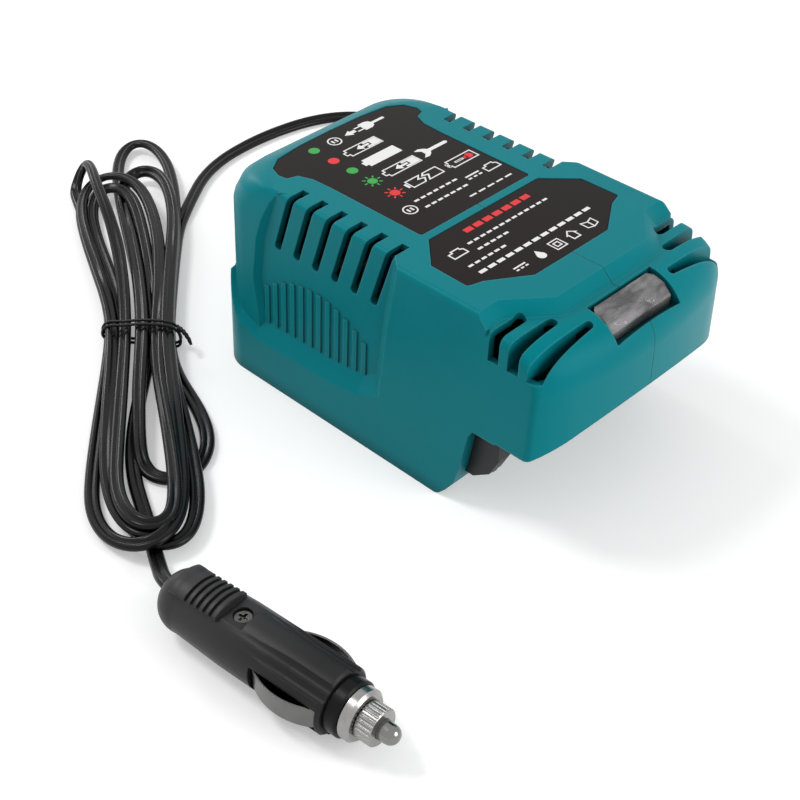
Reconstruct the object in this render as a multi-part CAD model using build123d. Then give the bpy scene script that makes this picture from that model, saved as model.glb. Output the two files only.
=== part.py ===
from build123d import *

"""Compact charger for slide-on power tool batteries, fed from a car's 12 V socket.

Millimetres. X is the charger's width, -Y its front end with the indicator window, +Y the end
where the cord leaves, and +Z up from the surface it stands on. The battery slides in from the
front, under the ceiling and between the two side skirts. The plug and its cord lie beside it.
"""

import os
from math import atan2, cos, degrees, dist, radians, sin, tan

os.makedirs("parts", exist_ok=True)

# ---- housing, outside ----
LENGTH = 151.5
DOCK_HALF = 36.0  # half the width of the battery dock
SKIRT = 11.0  # from the dock to the outside of a side skirt, at the foot
FOOT_WIDTH = 2 * (DOCK_HALF + SKIRT)
ROOF_Z = 74.2
DECK_Z = 70.2  # the lower deck in front of the roof
WALL = 2.4
SIDE_LEAN = 0.047  # each side leans in by this much per mm of height
FRONT_BOW = 3.5  # how far the middle of the front face bulges past its bent corners
FRONT_BEND = 7.0  # how far each corner turns back behind that
FRONT_BEND_X = FOOT_WIDTH / 2 - 15.0  # where the corners start to turn back
REAR_BOW = 1.5
REAR_CORNER = 14.0
DOME = (  # rear rim of the roof: mm under the roof, inset at the sides and at the rear, corner
    (19.0, 1.3, 1.2, 11.0),
    (9.0, 2.3, 2.5, 13.0),
    (4.4, 2.8, 4.2, 14.5),
    (1.5, 3.6, 7.5, 16.0),
    (-0.3, 5.2, 13.5, 17.0),
)
DOME_Y = 46.0  # the rim gets softer behind this
DECK_ROUND = 14.5  # the deck runs down into the front face
EDGE_ROUND = 3.0  # sides of the deck and corners of the front face
CREST_ROUND = 2.0  # rim of the roof
CORNER_INSET = 2.0  # the rear corners stand back from the skirt
PANEL_INSET = 4.0  # the grip panels stand back further
LEDGE_SLOPE = 1.5  # rise per mm of depth of the ledge under the panels
REAR_LEDGE_Z = 27.5  # the ledge across the rear face
FLARE_SLOPE = 1.25  # run per mm of depth at the panels' front ends
GROOVE_SLOPE = 1.3  # run per mm of depth at their rear ends

# ---- roof outline and its step down to the deck ----
SHOULDER_Y = -43.2
ROOF_FRONT_Y = -54.2
SHOULDER_X = FOOT_WIDTH / 2 - 12.7
ROOF_FRONT_X = FOOT_WIDTH / 2 - 25.7

# ---- skirts, raised front and battery dock ----
RAISED_Z = 32.0  # underside of the front end
ARCH_RISE = 10.0  # the front face's lower edge rises towards the middle
ARCH_DEPTH = 22.0
SKIRT_FRONT_Y = -33.0
DOCK_Z = 31.5
DOCK_END_Y = LENGTH / 2 - 19.75

# ---- grip panels: vent slots above fine ribs ----
VENT_COUNT = 6
VENT_PITCH = 8.85
VENT_WIDTH = 3.1
VENT_FIRST_Y = 39.7  # where the rearmost slot meets the roof
VENT_LEAN = 0.30  # run per mm of height
VENT_ROOF_X = 32.5
VENT_BOTTOM_Z = 53.0
RIB_COUNT = 12
RIB_PITCH = 4.2
RIB_WIDTH = 2.1
RIB_PROUD = 0.5
RIB_LAST_Y = 5.4
RIB_TOP_Z = 45.0
RIB_FOOT_Z = 24.0

# ---- deck slots, from rear to front: centre along Y, inner end along X, width there, mouth ----
DECK_SLOTS = ((-50.6, 31.0, 3.8, 4.2), (-58.0, 25.8, 3.6, 4.4), (-65.4, 18.3, 2.6, 4.8))
DECK_SLOT_FOOT_Z = 60.5

# ---- window ----
WINDOW_HALF = 14.2
WINDOW_REAR_Y = -61.3
WINDOW_BEND_Y = -67.0
WINDOW_FRONT_Y = -70.0
WINDOW_REAR_Z = 69.5
WINDOW_BEND_Z = 68.0
WINDOW_FRONT_Z = 64.9
WINDOW_SEAT_Z = 61.0
WINDOW_GAP = 0.8
WINDOW_LIP_Y = -73.0

# ---- label panels ----
LABEL_THICK = 0.5
LABEL_SINK = 0.2  # how far each label's face lies under the roof
LABEL_GAP = 0.25

# ---- inside the housing ----
BOARD_THICK = 1.6
BOARD_Z = 40.0
BOARD_HALF = 33.5
BOARD_FRONT_Y = -36.0
BOARD_REAR_Y = 56.0
BOARD_POSTS = ((-27.0, -28.0), (27.0, -28.0), (-27.0, 52.0), (27.0, 52.0))
INDICATOR_Z = 50.0
INDICATOR_HALF = 13.0
INDICATOR_POSTS = ((-10.5, -61.5), (10.5, -61.5))
LED_XS = (-6.0, -2.0, 2.0, 6.0)
LED_R = 1.5
LED_HEIGHT = 3.4
SMALL_SHANK = 0.9
SMALL_HEAD = 1.9
SMALL_HEAD_HEIGHT = 1.3
CORE_SIZE = (30.0, 26.0, 19.0)
CORE_AT = (14.0, -4.0)
CHOKE_AT = (-18.0, 34.0)
CHOKE_RING = 6.5
CHOKE_TUBE = 3.2
CAPACITORS = ((-19.0, 14.0, 6.3, 18.0), (-19.0, -2.0, 6.3, 18.0), (-3.0, 36.0, 4.0, 12.0))
SINK_AT = (22.0, 18.0)
SINK_LENGTH = 30.0
SINK_DEPTH = 10.0
SINK_HEIGHT = 20.0
SINK_BASE = 3.0
SINK_FINS = 7
TRANSISTORS = 3
TRANSISTOR_SIZE = (4.5, 8.0, 15.0)
WIRE_R = 0.8
TERMINAL_SIZE = (42.0, 24.0, 14.0)  # the block that hangs in the dock
TERMINAL_Y = 40.0
TERMINAL_GAP = 0.2
FLANGE_EDGE = 2.5
FLANGE_THICK = 2.0
BLADE_XS = (-16.0, -8.0, 0.0, 8.0, 16.0)
BLADE_THICK = 0.8
BLADE_REACH = 13.0
BLADE_ROOT = 6.0
BLADE_HEIGHT = 6.5
BLADE_FOOT_Z = 22.5
SCREW_PLACES = ((-52.0, 50.0), (-23.0, 61.0), (66.0, 60.0), (66.0, 40.0))  # Y and Z
SCREW_SHANK = 1.5
SCREW_HEAD = 2.9
SCREW_HEAD_HEIGHT = 2.4
SCREW_LENGTH = 18.0
SCREW_SEAT_X = 9.0
PILLAR_R = 4.5

# ---- guide shoes ----
SHOE_OUT = DOCK_HALF + SKIRT / 2
SHOE_TOP_Z = 31.2
SHOE_FOOT_Z = 10.5
SHOE_FRONT_Y = -52.5
SHOE_REAR_Y = -19.0
SHOE_GAP = 0.15
RAIL_REACH = 5.0  # the ledge that carries the battery stands in from the skirt by this
RAIL_THICK = 4.0
RAIL_END_Y = 6.0

# ---- cord ----
CORD_R = 2.2  # round stand-in for the flat twin cord
CORD_LIE_Z = 2.3
CORD_EXIT_Z = 18.0
CORD_START_Y = LENGTH / 2 - 14.75
BOOT_REACH = 11.5
BOOT_R = 4.7
BOOT_TIP_R = 3.3
BOOT_NECK_R = 4.2
BOOT_FLANGE_R = 6.2
HANK_FOOT_Z = 0.6
HANK_TOP_Z = 10.0
TIE_WIDTH = 4.5
TIE_THICK = 0.6
LEAD_OUT = (
    (0, CORD_START_Y, CORD_EXIT_Z),
    (0, 108, CORD_EXIT_Z),
    (34, 133, CORD_LIE_Z),
    (70, 120, CORD_LIE_Z),
    (104, 128, CORD_LIE_Z),
    (112, 152, CORD_LIE_Z),
    (94, 170, CORD_LIE_Z),
    (62, 176, CORD_LIE_Z),
    (30, 172, CORD_LIE_Z),
    (4, 154, CORD_LIE_Z),
)
HANK_OUTLINE = (
    (-21, 200),
    (0, 211),
    (24, 208),
    (27, 196),
    (7, 155),
    (-28, 112),
    (-54, 87),
    (-80, 43),
    (-110, 11),
    (-122, 4),
    (-132, 12),
    (-131, 36),
    (-109, 67),
    (-73, 106),
    (-48, 148),
    (-32, 183),
)
TIE_AT = (-62.7, 97.5)
TIE_HEADING = 49.0  # the hank's own direction at the tie
TIE_HALF = 13.7

# ---- plug: stations along its own axis, from the cord end ----
PLUG_END = (-138.3, -13.3)
PLUG_HEADING = -85.2
PLUG_ROLL = 0.0
PLUG_R = 10.4
PLUG_REAR_R = 9.7
PLUG_MOUTH_R = 3.4
PLUG_REST_Z = 10.5
PLUG_WALL = 2.4
DOME_LENGTH = 10.0
TAPER_END = 28.0
BODY_END = 66.0
NOSE_R = 8.6
NOSE_END = 70.5
COLLAR_R = 7.9
COLLAR_LENGTH = 3.6
SLEEVE_R = 4.8
SLEEVE_BORE = 4.1
NUT_R = 5.7
NUT_LENGTH = 5.6
NUT_FACE = 1.4
NUT_KNURLS = 26
TIP_R = 3.0
TIP_SHOULDER_R = 4.02
TIP_SHOULDER = 2.4
TIP_REACH = 5.6
TIP_TRAVEL = 2.5
SLIDE_GAP = 0.08
FUSE_R = 3.1
FUSE_LENGTH = 25.0
FUSE_CAP = 5.0
BARREL_R = 5.0
BARREL_BORE = 3.3
BARREL_START = 34.0
SPRING_TURNS = 5.5
SPRING_WIRE = 0.35
CONTACT_START = 41.0
CONTACT_END = 64.0
CONTACT_WIDTH = 7.2
CONTACT_THICK = 0.6
CONTACT_SEAT_R = 8.9
CONTACT_BOW = 1.9  # how far the springs stand out of the plug's body
CONTACT_GAP = 0.35
PAD_START = 6.5
PAD_END = 25.3
PAD_HALF = 6.2
PAD_PROUD = 1.3
PAD_GROOVES = 5
PAD_GROOVE_AT = 13.6
PAD_GROOVE_PITCH = 2.4
FLAT_END = 33.5  # the flat round the screw runs out here
FLAT_R = 9.2
PLUG_SCREW_AT = 29.8
PLUG_SCREW_SEAT = 6.6
PLUG_SCREW_HEAD = 2.6
PLUG_SCREW_SHANK = 1.2
PLUG_BOSS_R = 3.8
FLUTE_START = 37.0
FLUTE_FULL = 52.0
FLUTE_R = 2.0
FLUTE_ANGLES = (29.0, 44.0, -29.0, -44.0, 151.0, 136.0, -151.0, -136.0)  # from the top

FRONT_Y = -LENGTH / 2
REAR_Y = LENGTH / 2
FAR = 200.0  # half size of the blocks that only trim
BOTTOM_ALIGN = (Align.CENTER, Align.CENTER, Align.MIN)


# ---- small helpers ----
def save(name, shape):
    """Writes one piece to its own file."""
    export_step(shape, f"parts/{name}.step")


def block(x0, x1, y0, y1, z0, z1):
    """Box from its low and high corners."""
    middle = ((x0 + x1) / 2, (y0 + y1) / 2, (z0 + z1) / 2)
    return Pos(*middle) * Box(x1 - x0, y1 - y0, z1 - z0)


def side_prism(points, x0, x1):
    """Prism from a (y, z) outline, running along X."""
    face = make_face(Polyline(*[(x0, y, z) for y, z in points], close=True))
    return extrude(face, amount=x1 - x0, dir=(1, 0, 0))


def both_sides(shape):
    """The shape and its mirror image in the middle plane."""
    return shape + mirror(shape, about=Plane.YZ)


def rod(start, direction, radius, length):
    """Cylinder that starts at a point and runs in a direction."""
    return Plane(origin=start, z_dir=direction) * Cylinder(radius, length, align=BOTTOM_ALIGN)


def near(edges, where):
    """The edges whose middle passes a test on (x, y, z)."""
    return [e for e in edges if where(*tuple(e @ 0.5))]


# ---- housing skin ----
def half_width(z, inset=0.0):
    """Half the width between the side walls at a height."""
    return FOOT_WIDTH / 2 - SIDE_LEAN * z - inset


def leaning_block(foot, top, inset):
    """Block with leaning flat sides and upright, slightly bowed front and rear faces."""
    low, high = half_width(foot, inset), half_width(top, inset)
    trapezoid = [(-low, -FAR, foot), (low, -FAR, foot), (high, -FAR, top), (-high, -FAR, top)]
    sides = extrude(make_face(Polyline(*trapezoid, close=True)), amount=2 * FAR, dir=(0, 1, 0))
    half = FOOT_WIDTH / 2
    front, rear = FRONT_Y + inset, REAR_Y - inset
    bend, side = front + FRONT_BOW, front + FRONT_BOW + FRONT_BEND
    bow = ThreePointArc((-FRONT_BEND_X, bend), (0, front), (FRONT_BEND_X, bend))
    corner = TangentArc((FRONT_BEND_X, bend), (half, side), tangent=bow % 1)
    plan = [
        bow,
        corner,
        mirror(corner, about=Plane.YZ),
        Line((half, side), (half, rear - REAR_BOW)),
        ThreePointArc((half, rear - REAR_BOW), (0, rear), (-half, rear - REAR_BOW)),
        Line((-half, rear - REAR_BOW), (-half, side)),
    ]
    return sides & extrude(Pos(0, 0, foot) * make_face(plan), amount=top - foot, dir=(0, 0, 1))


def wedge_outline(z, ahead):
    """Three-sided front of the roof with everything behind it; ahead moves each side forwards."""
    shoulder = SHOULDER_X + ahead * tan(radians(22))
    corner = ROOF_FRONT_X + ahead * tan(radians(22))
    half = [(FAR, SHOULDER_Y - ahead), (shoulder, SHOULDER_Y - ahead), (corner, ROOF_FRONT_Y - ahead)]
    outline = half + [(-x, y) for x, y in reversed(half)] + [(-FAR, FAR), (FAR, FAR)]
    return Pos(0, 0, z) * make_face(Polyline(*outline, close=True))


def roof_wedge(drop):
    """Space that the roof keeps above the deck, with a three-sided bevelled step at its front."""
    step = ROOF_Z - DECK_Z
    foot = wedge_outline(DECK_Z - drop, step)
    bevel = loft([foot, wedge_outline(ROOF_Z - drop, 0)], ruled=True)
    return bevel + extrude(foot, amount=ROOF_Z, dir=(0, 0, -1))


def skin(inset, drop, crest):
    """The housing's outer form; the walls move in by an inset, roof and foot by a drop."""
    deck = leaning_block(drop, DECK_Z - drop, inset) & block(-FAR, FAR, -FAR, -20, 0, FAR)
    front_rim = near(
        deck.edges(), lambda x, y, z: y < FRONT_Y + 20 and abs(x) < half_width(z, inset) - 1 and z > DECK_Z / 2
    )
    deck = fillet(front_rim, DECK_ROUND - drop)
    front_corners = near(
        deck.edges(),
        lambda x, y, z: y < FRONT_Y + 40 and z > drop + 2 and abs(x) > half_width(z, inset) - 0.6,
    )
    deck = fillet(front_corners, max(EDGE_ROUND - inset, 0.6))
    top = leaning_block(drop, ROOF_Z - drop, inset) & roof_wedge(drop)
    rear_corners = near(top.edges(), lambda x, y, z: y > 60 and abs(z - ROOF_Z / 2) < 2 and abs(x) > 30)
    top = fillet(rear_corners, REAR_CORNER - inset)
    rim = near(
        top.edges(),
        lambda x, y, z: z > ROOF_Z - drop - 0.05 and (y > 60 or abs(x) > half_width(z, inset) - 1),
    )
    return deck + fillet(rim, crest)


def rear_dome(inset, drop):
    """Stack of rounded outlines that narrows upwards: the soft rear rim of the roof."""
    outlines = []
    for under, side, rear, corner in DOME:
        half = half_width(ROOF_Z - under, side + inset)
        y = REAR_Y - rear - inset
        outline = Pos(0, y - LENGTH / 2, ROOF_Z - under - drop) * RectangleRounded(2 * half, LENGTH, corner)
        outlines.append(outline)
    return loft(outlines, ruled=True)


def past_dome(inset, drop):
    """What the rear rim takes off the roof's rear corners."""
    foot = ROOF_Z - DOME[0][0] - drop
    return block(-FAR, FAR, DOME_Y, FAR, foot + 0.5, FAR) - rear_dome(inset, drop)


# ---- grip panels in the sides ----
def moved_outline(points, steps, depth):
    """A (y, z) outline whose edges move parallel to themselves, each by its own step per mm."""
    moved = []
    for i, (y, z) in enumerate(points):
        before, after = points[i - 1], points[(i + 1) % len(points)]
        ay, az = y - before[0], z - before[1]
        by, bz = after[0] - y, after[1] - z
        (sy, sz), (ty, tz) = steps[i - 1], steps[i]
        along = depth * ((ty - sy) * bz - (tz - sz) * by) / (ay * bz - az * by)
        moved.append((y + depth * sy + along * ay, z + depth * sz + along * az))
    return moved


def panel_space():
    """The space outside the grip panels and rear corners, down to the sloping ledge."""
    flare, ledge, fixed = (FLARE_SLOPE, 0), (0, LEDGE_SLOPE), (0, 0)
    outline = [(-17.0, 90), (-13.3, 72), (-8.9, 52), (-4.4, 24), (5, 20), (20, 18.4), (54, 17.5)]
    outline += [(64, 21), (72, 27), (90, 28.5), (90, 90)]
    steps = [flare] * 3 + [ledge] * 6 + [fixed] * 2
    flush = half_width(ROOF_Z / 2)
    sections = []
    for depth in (8.0, -6.0):
        points = [(flush - depth, y, z) for y, z in moved_outline(outline, steps, depth)]
        sections.append(make_face(Polyline(*points, close=True)))
    sides = both_sides(loft(sections, ruled=True))
    inner, outer = REAR_Y - CORNER_INSET - 3, REAR_Y + 6
    rear = side_prism(
        [
            (inner, REAR_LEDGE_Z + 5 * LEDGE_SLOPE),
            (outer, REAR_LEDGE_Z - 6 * LEDGE_SLOPE),
            (outer, 90),
            (inner, 90),
        ],
        -FAR,
        FAR,
    )
    return sides + rear


def panel_zone():
    """The stretch of the sides that holds the slots and ribs, in front of the rear corners."""
    groove = [(48.0, 90), (48.2, 74), (53.4, 54.4), (54.4, 38.5), (50.8, 22), (49, 5)]
    outline = [(-40, 5), (-40, 90)] + groove
    steps = [(0, 0)] * 2 + [(-GROOVE_SLOPE, 0)] * 5 + [(0, 0)]
    flush = half_width(ROOF_Z / 2, PANEL_INSET)
    sections = []
    for depth in (20.0, -12.0):
        points = [(flush - depth, y, z) for y, z in moved_outline(outline, steps, depth)]
        sections.append(make_face(Polyline(*points, close=True)))
    return both_sides(loft(sections, ruled=True))


def grip_ribs():
    """Fine upright ribs under the vent slots; their tops follow an arch."""
    ribs = Part()
    middle = (RIB_COUNT - 1) / 2
    for i in range(RIB_COUNT):
        y = RIB_LAST_Y + i * RIB_PITCH
        top = RIB_TOP_Z - 8.0 * ((i - middle) / middle) ** 2
        ribs += block(30, FAR, y - RIB_WIDTH / 2, y + RIB_WIDTH / 2, RIB_FOOT_Z - 6, top)
    return both_sides(ribs)


def vent_slots():
    """Slots that start in the roof and run down each side, leaning to the rear."""
    slots = Part()
    height = ROOF_Z - VENT_BOTTOM_Z
    half = VENT_WIDTH / 2
    for i in range(VENT_COUNT):
        top_y = VENT_FIRST_Y - i * VENT_PITCH
        foot_y = top_y + VENT_LEAN * height
        over = 5 * VENT_LEAN
        slot = side_prism(
            [
                (top_y - half - over, ROOF_Z + 5),
                (top_y + half - over, ROOF_Z + 5),
                (foot_y + half, VENT_BOTTOM_Z + half),
                (foot_y - half, VENT_BOTTOM_Z + half),
            ],
            VENT_ROOF_X,
            FAR,
        )
        slots += slot + rod((VENT_ROOF_X, foot_y, VENT_BOTTOM_Z + half), (1, 0, 0), half, FAR)
    return both_sides(slots)


def deck_slots():
    """Slots across both ends of the deck, open over the side edges."""
    slots = Part()
    outer = FOOT_WIDTH / 2 + 5
    for y, inner, width, mouth in DECK_SLOTS:
        start = inner + width / 2
        corners = [(start, y - width / 2), (outer, y - mouth / 2), (outer, y + mouth / 2), (start, y + width / 2)]
        taper = extrude(make_face(Polyline(*corners, close=True)), amount=20, dir=(0, 0, 1))
        end = Pos(start, y) * Cylinder(width / 2, 20, align=BOTTOM_ALIGN)
        slots += Pos(0, 0, DECK_SLOT_FOOT_Z) * (taper + end)
    return both_sides(slots)


def deck_webs():
    """Solid plates under both ends of the deck, from which its slots are cut: they keep the fins whole."""
    webs = Part()
    for index, (y, inner, width, mouth) in enumerate(DECK_SLOTS):
        front = y - width / 2 - WALL if y == DECK_SLOTS[-1][0] else DECK_SLOTS[index + 1][0]
        webs += block(inner - WALL, FOOT_WIDTH / 2, front, y, DECK_SLOT_FOOT_Z, DECK_Z)
    return both_sides(webs)


# ---- labels and window ----
def status_outline(gap):
    """Outline of the rear label: a long panel with lobes at its rear corners."""
    half = [(0, 63.3), (14, 62.9), (25, 61.6), (30.2, 58.2), (31.8, 53.5), (31.2, 50.5)]
    half += [(27.6, 49.3), (25.6, 44.0), (25.2, 36), (25.1, -3.6)]
    return mirrored_outline(half, gap)


def info_outline(gap):
    """Outline of the front label: a hexagon with cut corners."""
    half = [(0, -7.2), (25.2, -7.2), (34.9, -17.5), (35.2, -32.0), (30.0, -33.6), (17.0, -42.2)]
    return mirrored_outline(half, gap)


def mirrored_outline(half, gap):
    """Closed face from its right half, grown by a gap."""
    points = half + [(-x, y) for x, y in reversed(half) if x > 0.01]
    face = make_face(Polyline(*points, close=True))
    face = fillet(face.vertices(), 0.8)
    return offset(face, gap) if gap else face


def label(outline, gap, low, high):
    """Plate of a label's outline between two depths under the roof."""
    return extrude(Pos(0, 0, ROOF_Z - low) * outline(gap), amount=low - high, dir=(0, 0, 1))


def window_profile(gap):
    """Two-faced profile of the indicator window, seen from the side."""
    return [
        (WINDOW_REAR_Y + gap, WINDOW_SEAT_Z),
        (WINDOW_REAR_Y + gap, WINDOW_REAR_Z),
        (WINDOW_BEND_Y, WINDOW_BEND_Z),
        (WINDOW_FRONT_Y, WINDOW_FRONT_Z),
        (WINDOW_FRONT_Y, WINDOW_SEAT_Z),
    ]


def indicator_window():
    """Clear window with cut rear corners, seated in its pocket."""
    window = side_prism(window_profile(0), -WINDOW_HALF, WINDOW_HALF)
    uprights = near(window.edges(), lambda x, y, z: y > WINDOW_REAR_Y - 0.1 and abs(x) > WINDOW_HALF - 0.1)
    window = chamfer(uprights, 1.8)
    pipe = block(-9, 9, WINDOW_REAR_Y - 6.5, WINDOW_REAR_Y - 1.5, WINDOW_SEAT_Z - 5.5, WINDOW_SEAT_Z)
    return window + pipe


def window_pocket():
    """Pocket round the window, open at the front lip, with a hole for the light pipe."""
    half = WINDOW_HALF + WINDOW_GAP
    pocket = block(-half, half, WINDOW_LIP_Y, WINDOW_REAR_Y + WINDOW_GAP, WINDOW_SEAT_Z, ROOF_Z)
    hole = block(-9.2, 9.2, WINDOW_REAR_Y - 6.7, WINDOW_REAR_Y - 1.3, WINDOW_SEAT_Z - 8, WINDOW_SEAT_Z + 1)
    return pocket + hole


# ---- housing ----
def raised_front(grow):
    """Space under the raised front end, ahead of the skirts."""
    y, z = SKIRT_FRONT_Y + grow, RAISED_Z + grow
    points = [(-FAR, -5), (y + 1.6, -5), (y + 1.6, 0), (y, 0.8), (y - 2.6, 3.5), (y - 5.8, 8.0), (y - 7.6, 15.0)]
    points += [(y - 10.4, z - 2.6), (y - 12.0, z), (-FAR, z)]
    return side_prism(points, -FAR, FAR)


def latch_arch(grow):
    """Tunnel behind the front face's arched lower edge, clear of the battery's latch."""
    half = FOOT_WIDTH / 2
    foot, rise = RAISED_Z + grow, RAISED_Z + ARCH_RISE + grow
    arc = ThreePointArc((-half, -FAR, foot), (0, -FAR, rise), (half, -FAR, foot))
    chord = Line((half, -FAR, foot), (-half, -FAR, foot))
    depth = FAR + FRONT_Y + ARCH_DEPTH + grow
    tunnel = extrude(make_face([arc, chord]), amount=depth, dir=(0, 1, 0))
    return tunnel


def dock(grow):
    """Space for the battery: open at the foot and the front."""
    return block(-DOCK_HALF - grow, DOCK_HALF + grow, -FAR, DOCK_END_Y + grow, -5, DOCK_Z + grow)


def cavity():
    """Space for the electronics, with walls of one thickness all round."""
    deep = PANEL_INSET + WALL + 0.2
    front = skin(WALL, WALL, 0.8) & block(-FAR, FAR, -FAR, -20, 0, FAR)
    rear = skin(deep, WALL, 0.8) & block(-FAR, FAR, -20.2, FAR, 10, FAR)
    rear -= past_dome(WALL, WALL)
    skirts = skin(WALL, WALL, 0.8) & block(-FAR, FAR, -FAR, FAR, 0, 13)
    cord_bay = skin(WALL, WALL, 0.8) & block(-16, 16, DOCK_END_Y + WALL, FAR, 0, 27)
    space = front + rear + skirts + cord_bay
    return space - dock(WALL) - raised_front(WALL) - latch_arch(WALL)


def screw_pillars():
    """Pillars across the housing for the screws that close it."""
    pillars = Part()
    for y, z in SCREW_PLACES:
        pillars += rod((-FAR / 2, y, z), (1, 0, 0), PILLAR_R, FAR)
    return pillars


def screw_holes():
    """Pilot holes in the left half; clearance holes and sunk heads in the right half."""
    holes = Part()
    tip = SCREW_SEAT_X - SCREW_LENGTH
    for y, z in SCREW_PLACES:
        holes += rod((tip, y, z), (1, 0, 0), SCREW_SHANK, -tip)
        holes += rod((0, y, z), (1, 0, 0), SCREW_SHANK + 0.2, SCREW_SEAT_X)
        holes += rod((SCREW_SEAT_X, y, z), (1, 0, 0), SCREW_HEAD + 0.3, FAR)
    return holes


def post(x, y, foot, top):
    """Small upright post with a pilot hole in its top."""
    body = Pos(x, y, foot) * Cylinder(2.6, top - foot, align=BOTTOM_ALIGN)
    return body - Pos(x, y, top - 5) * Cylinder(SMALL_SHANK, 6, align=BOTTOM_ALIGN)


def board_posts():
    """Posts that carry the main board and the indicator board."""
    posts = Part()
    for x, y in BOARD_POSTS:
        posts += post(x, y, DOCK_Z + 0.5, BOARD_Z)
    for x, y in INDICATOR_POSTS:
        posts += post(x, y, RAISED_Z + ARCH_RISE + 1, INDICATOR_Z)
    return posts


def clamp_posts():
    """Block with a saddle under the cord clamp."""
    top = CORD_EXIT_Z + 1
    saddle = block(-11, 11, CORD_START_Y, CORD_START_Y + 6, WALL - 0.4, top)
    saddle -= block(-CORD_R, CORD_R, CORD_START_Y, CORD_START_Y + 6, CORD_EXIT_Z, top)
    saddle -= rod((0, CORD_START_Y, CORD_EXIT_Z), (0, 1, 0), CORD_R, 6)
    for x in (-7.5, 7.5):
        saddle -= Pos(x, CORD_START_Y + 3, top - 6) * Cylinder(SMALL_SHANK, 6, align=BOTTOM_ALIGN)
    return saddle


def window_bed():
    """Thick floor under the window's pocket."""
    half = WINDOW_HALF + WINDOW_GAP + 1.6
    rear = WINDOW_REAR_Y + WINDOW_GAP + 1.6
    return block(-half, half, WINDOW_LIP_Y - 2, rear, WINDOW_SEAT_Z - 1.8, DECK_Z)


def shoe_bed():
    """Solid stretch of each skirt round the guide shoe's pocket."""
    return both_sides(block(SHOE_OUT - 4, SHOE_OUT + 2.5, FRONT_Y, SHOE_REAR_Y + 2, SHOE_FOOT_Z - 2, DOCK_Z + 1))


def boot_hole():
    """Hole in the rear wall that traps the cord boot's neck."""
    return rod((0, REAR_Y - 8, CORD_EXIT_Z), (0, 1, 0), BOOT_NECK_R, 20)


def terminal_hole():
    """Opening in the dock's ceiling for the terminal block."""
    x, y, _ = TERMINAL_SIZE
    return Pos(0, TERMINAL_Y, DOCK_Z + WALL / 2) * Box(x, y, WALL + 2)


def shoe_pocket():
    """Pocket in each skirt's front end that the guide shoe plugs into."""
    grow = SHOE_GAP
    pocket = block(
        DOCK_HALF - 1,
        SHOE_OUT + grow,
        SHOE_FRONT_Y,
        SHOE_REAR_Y + grow,
        SHOE_FOOT_Z - grow,
        SHOE_TOP_Z + grow,
    )
    return both_sides(pocket)


def outer_form():
    """The housing's outside as one solid, with its grip panels and set-back rear corners."""
    space = panel_space()
    panels = space & panel_zone()
    form = skin(0, 0, CREST_ROUND) - (space - skin(CORNER_INSET, 0, CREST_ROUND)) - past_dome(0, 0)
    ribs = grip_ribs() & skin(PANEL_INSET - RIB_PROUD, 0, CREST_ROUND)
    return form - (panels - skin(PANEL_INSET, 0, CREST_ROUND) - ribs)


def housing():
    """The whole housing, before it is parted in the middle plane."""
    label_depth = LABEL_THICK + LABEL_SINK
    form = outer_form()
    outer_cuts = (
        dock(0),
        raised_front(0),
        latch_arch(0),
        vent_slots(),
        deck_slots(),
        window_pocket(),
        label(status_outline, LABEL_GAP, label_depth, -1),
        label(info_outline, LABEL_GAP, label_depth, -1),
    )
    for cut in outer_cuts:
        form -= cut
    body = form - cavity()
    for built_up in (deck_webs(), screw_pillars(), window_bed(), shoe_bed(), board_posts(), clamp_posts()):
        body += built_up & form
    for cut in (screw_holes(), boot_hole(), terminal_hole(), shoe_pocket()):
        body -= cut
    return body


def housing_screws():
    """Four screws that close the housing from its right side."""
    screws = Part()
    for y, z in SCREW_PLACES:
        screws += rod((SCREW_SEAT_X, y, z), (-1, 0, 0), SCREW_SHANK, SCREW_LENGTH)
        head = rod((SCREW_SEAT_X, y, z), (1, 0, 0), SCREW_HEAD, SCREW_HEAD_HEIGHT)
        recess = Pos(SCREW_SEAT_X + SCREW_HEAD_HEIGHT, y, z) * (Box(2.4, 0.8, 3.2) + Box(2.4, 3.2, 0.8))
        screws += head - recess
    return screws


# ---- boards and what stands on them ----
def main_board():
    """Circuit board on the dock's ceiling."""
    board = block(-BOARD_HALF, BOARD_HALF, BOARD_FRONT_Y, BOARD_REAR_Y, BOARD_Z, BOARD_Z + BOARD_THICK)
    for x, y in BOARD_POSTS:
        board -= Pos(x, y, BOARD_Z) * Cylinder(SMALL_SHANK + 0.2, BOARD_THICK, align=BOTTOM_ALIGN)
    return board


def indicator_board():
    """Small board under the window."""
    half = INDICATOR_HALF
    board = block(-half, half, -71, -58, INDICATOR_Z, INDICATOR_Z + BOARD_THICK)
    for x, y in INDICATOR_POSTS:
        board -= Pos(x, y, INDICATOR_Z) * Cylinder(SMALL_SHANK + 0.2, BOARD_THICK, align=BOTTOM_ALIGN)
    return board


def indicator_leds():
    """Light-emitting diodes under the window's light pipe."""
    leds = Part()
    straight = LED_HEIGHT - LED_R
    y = WINDOW_REAR_Y - 4
    for x in LED_XS:
        base = Pos(x, y, INDICATOR_Z + BOARD_THICK)
        leds += base * Cylinder(LED_R, straight, align=BOTTOM_ALIGN)
        leds += base * Pos(0, 0, straight) * Sphere(LED_R)
    return leds - block(-FAR, FAR, -FAR, FAR, 0, INDICATOR_Z + BOARD_THICK)


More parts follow.
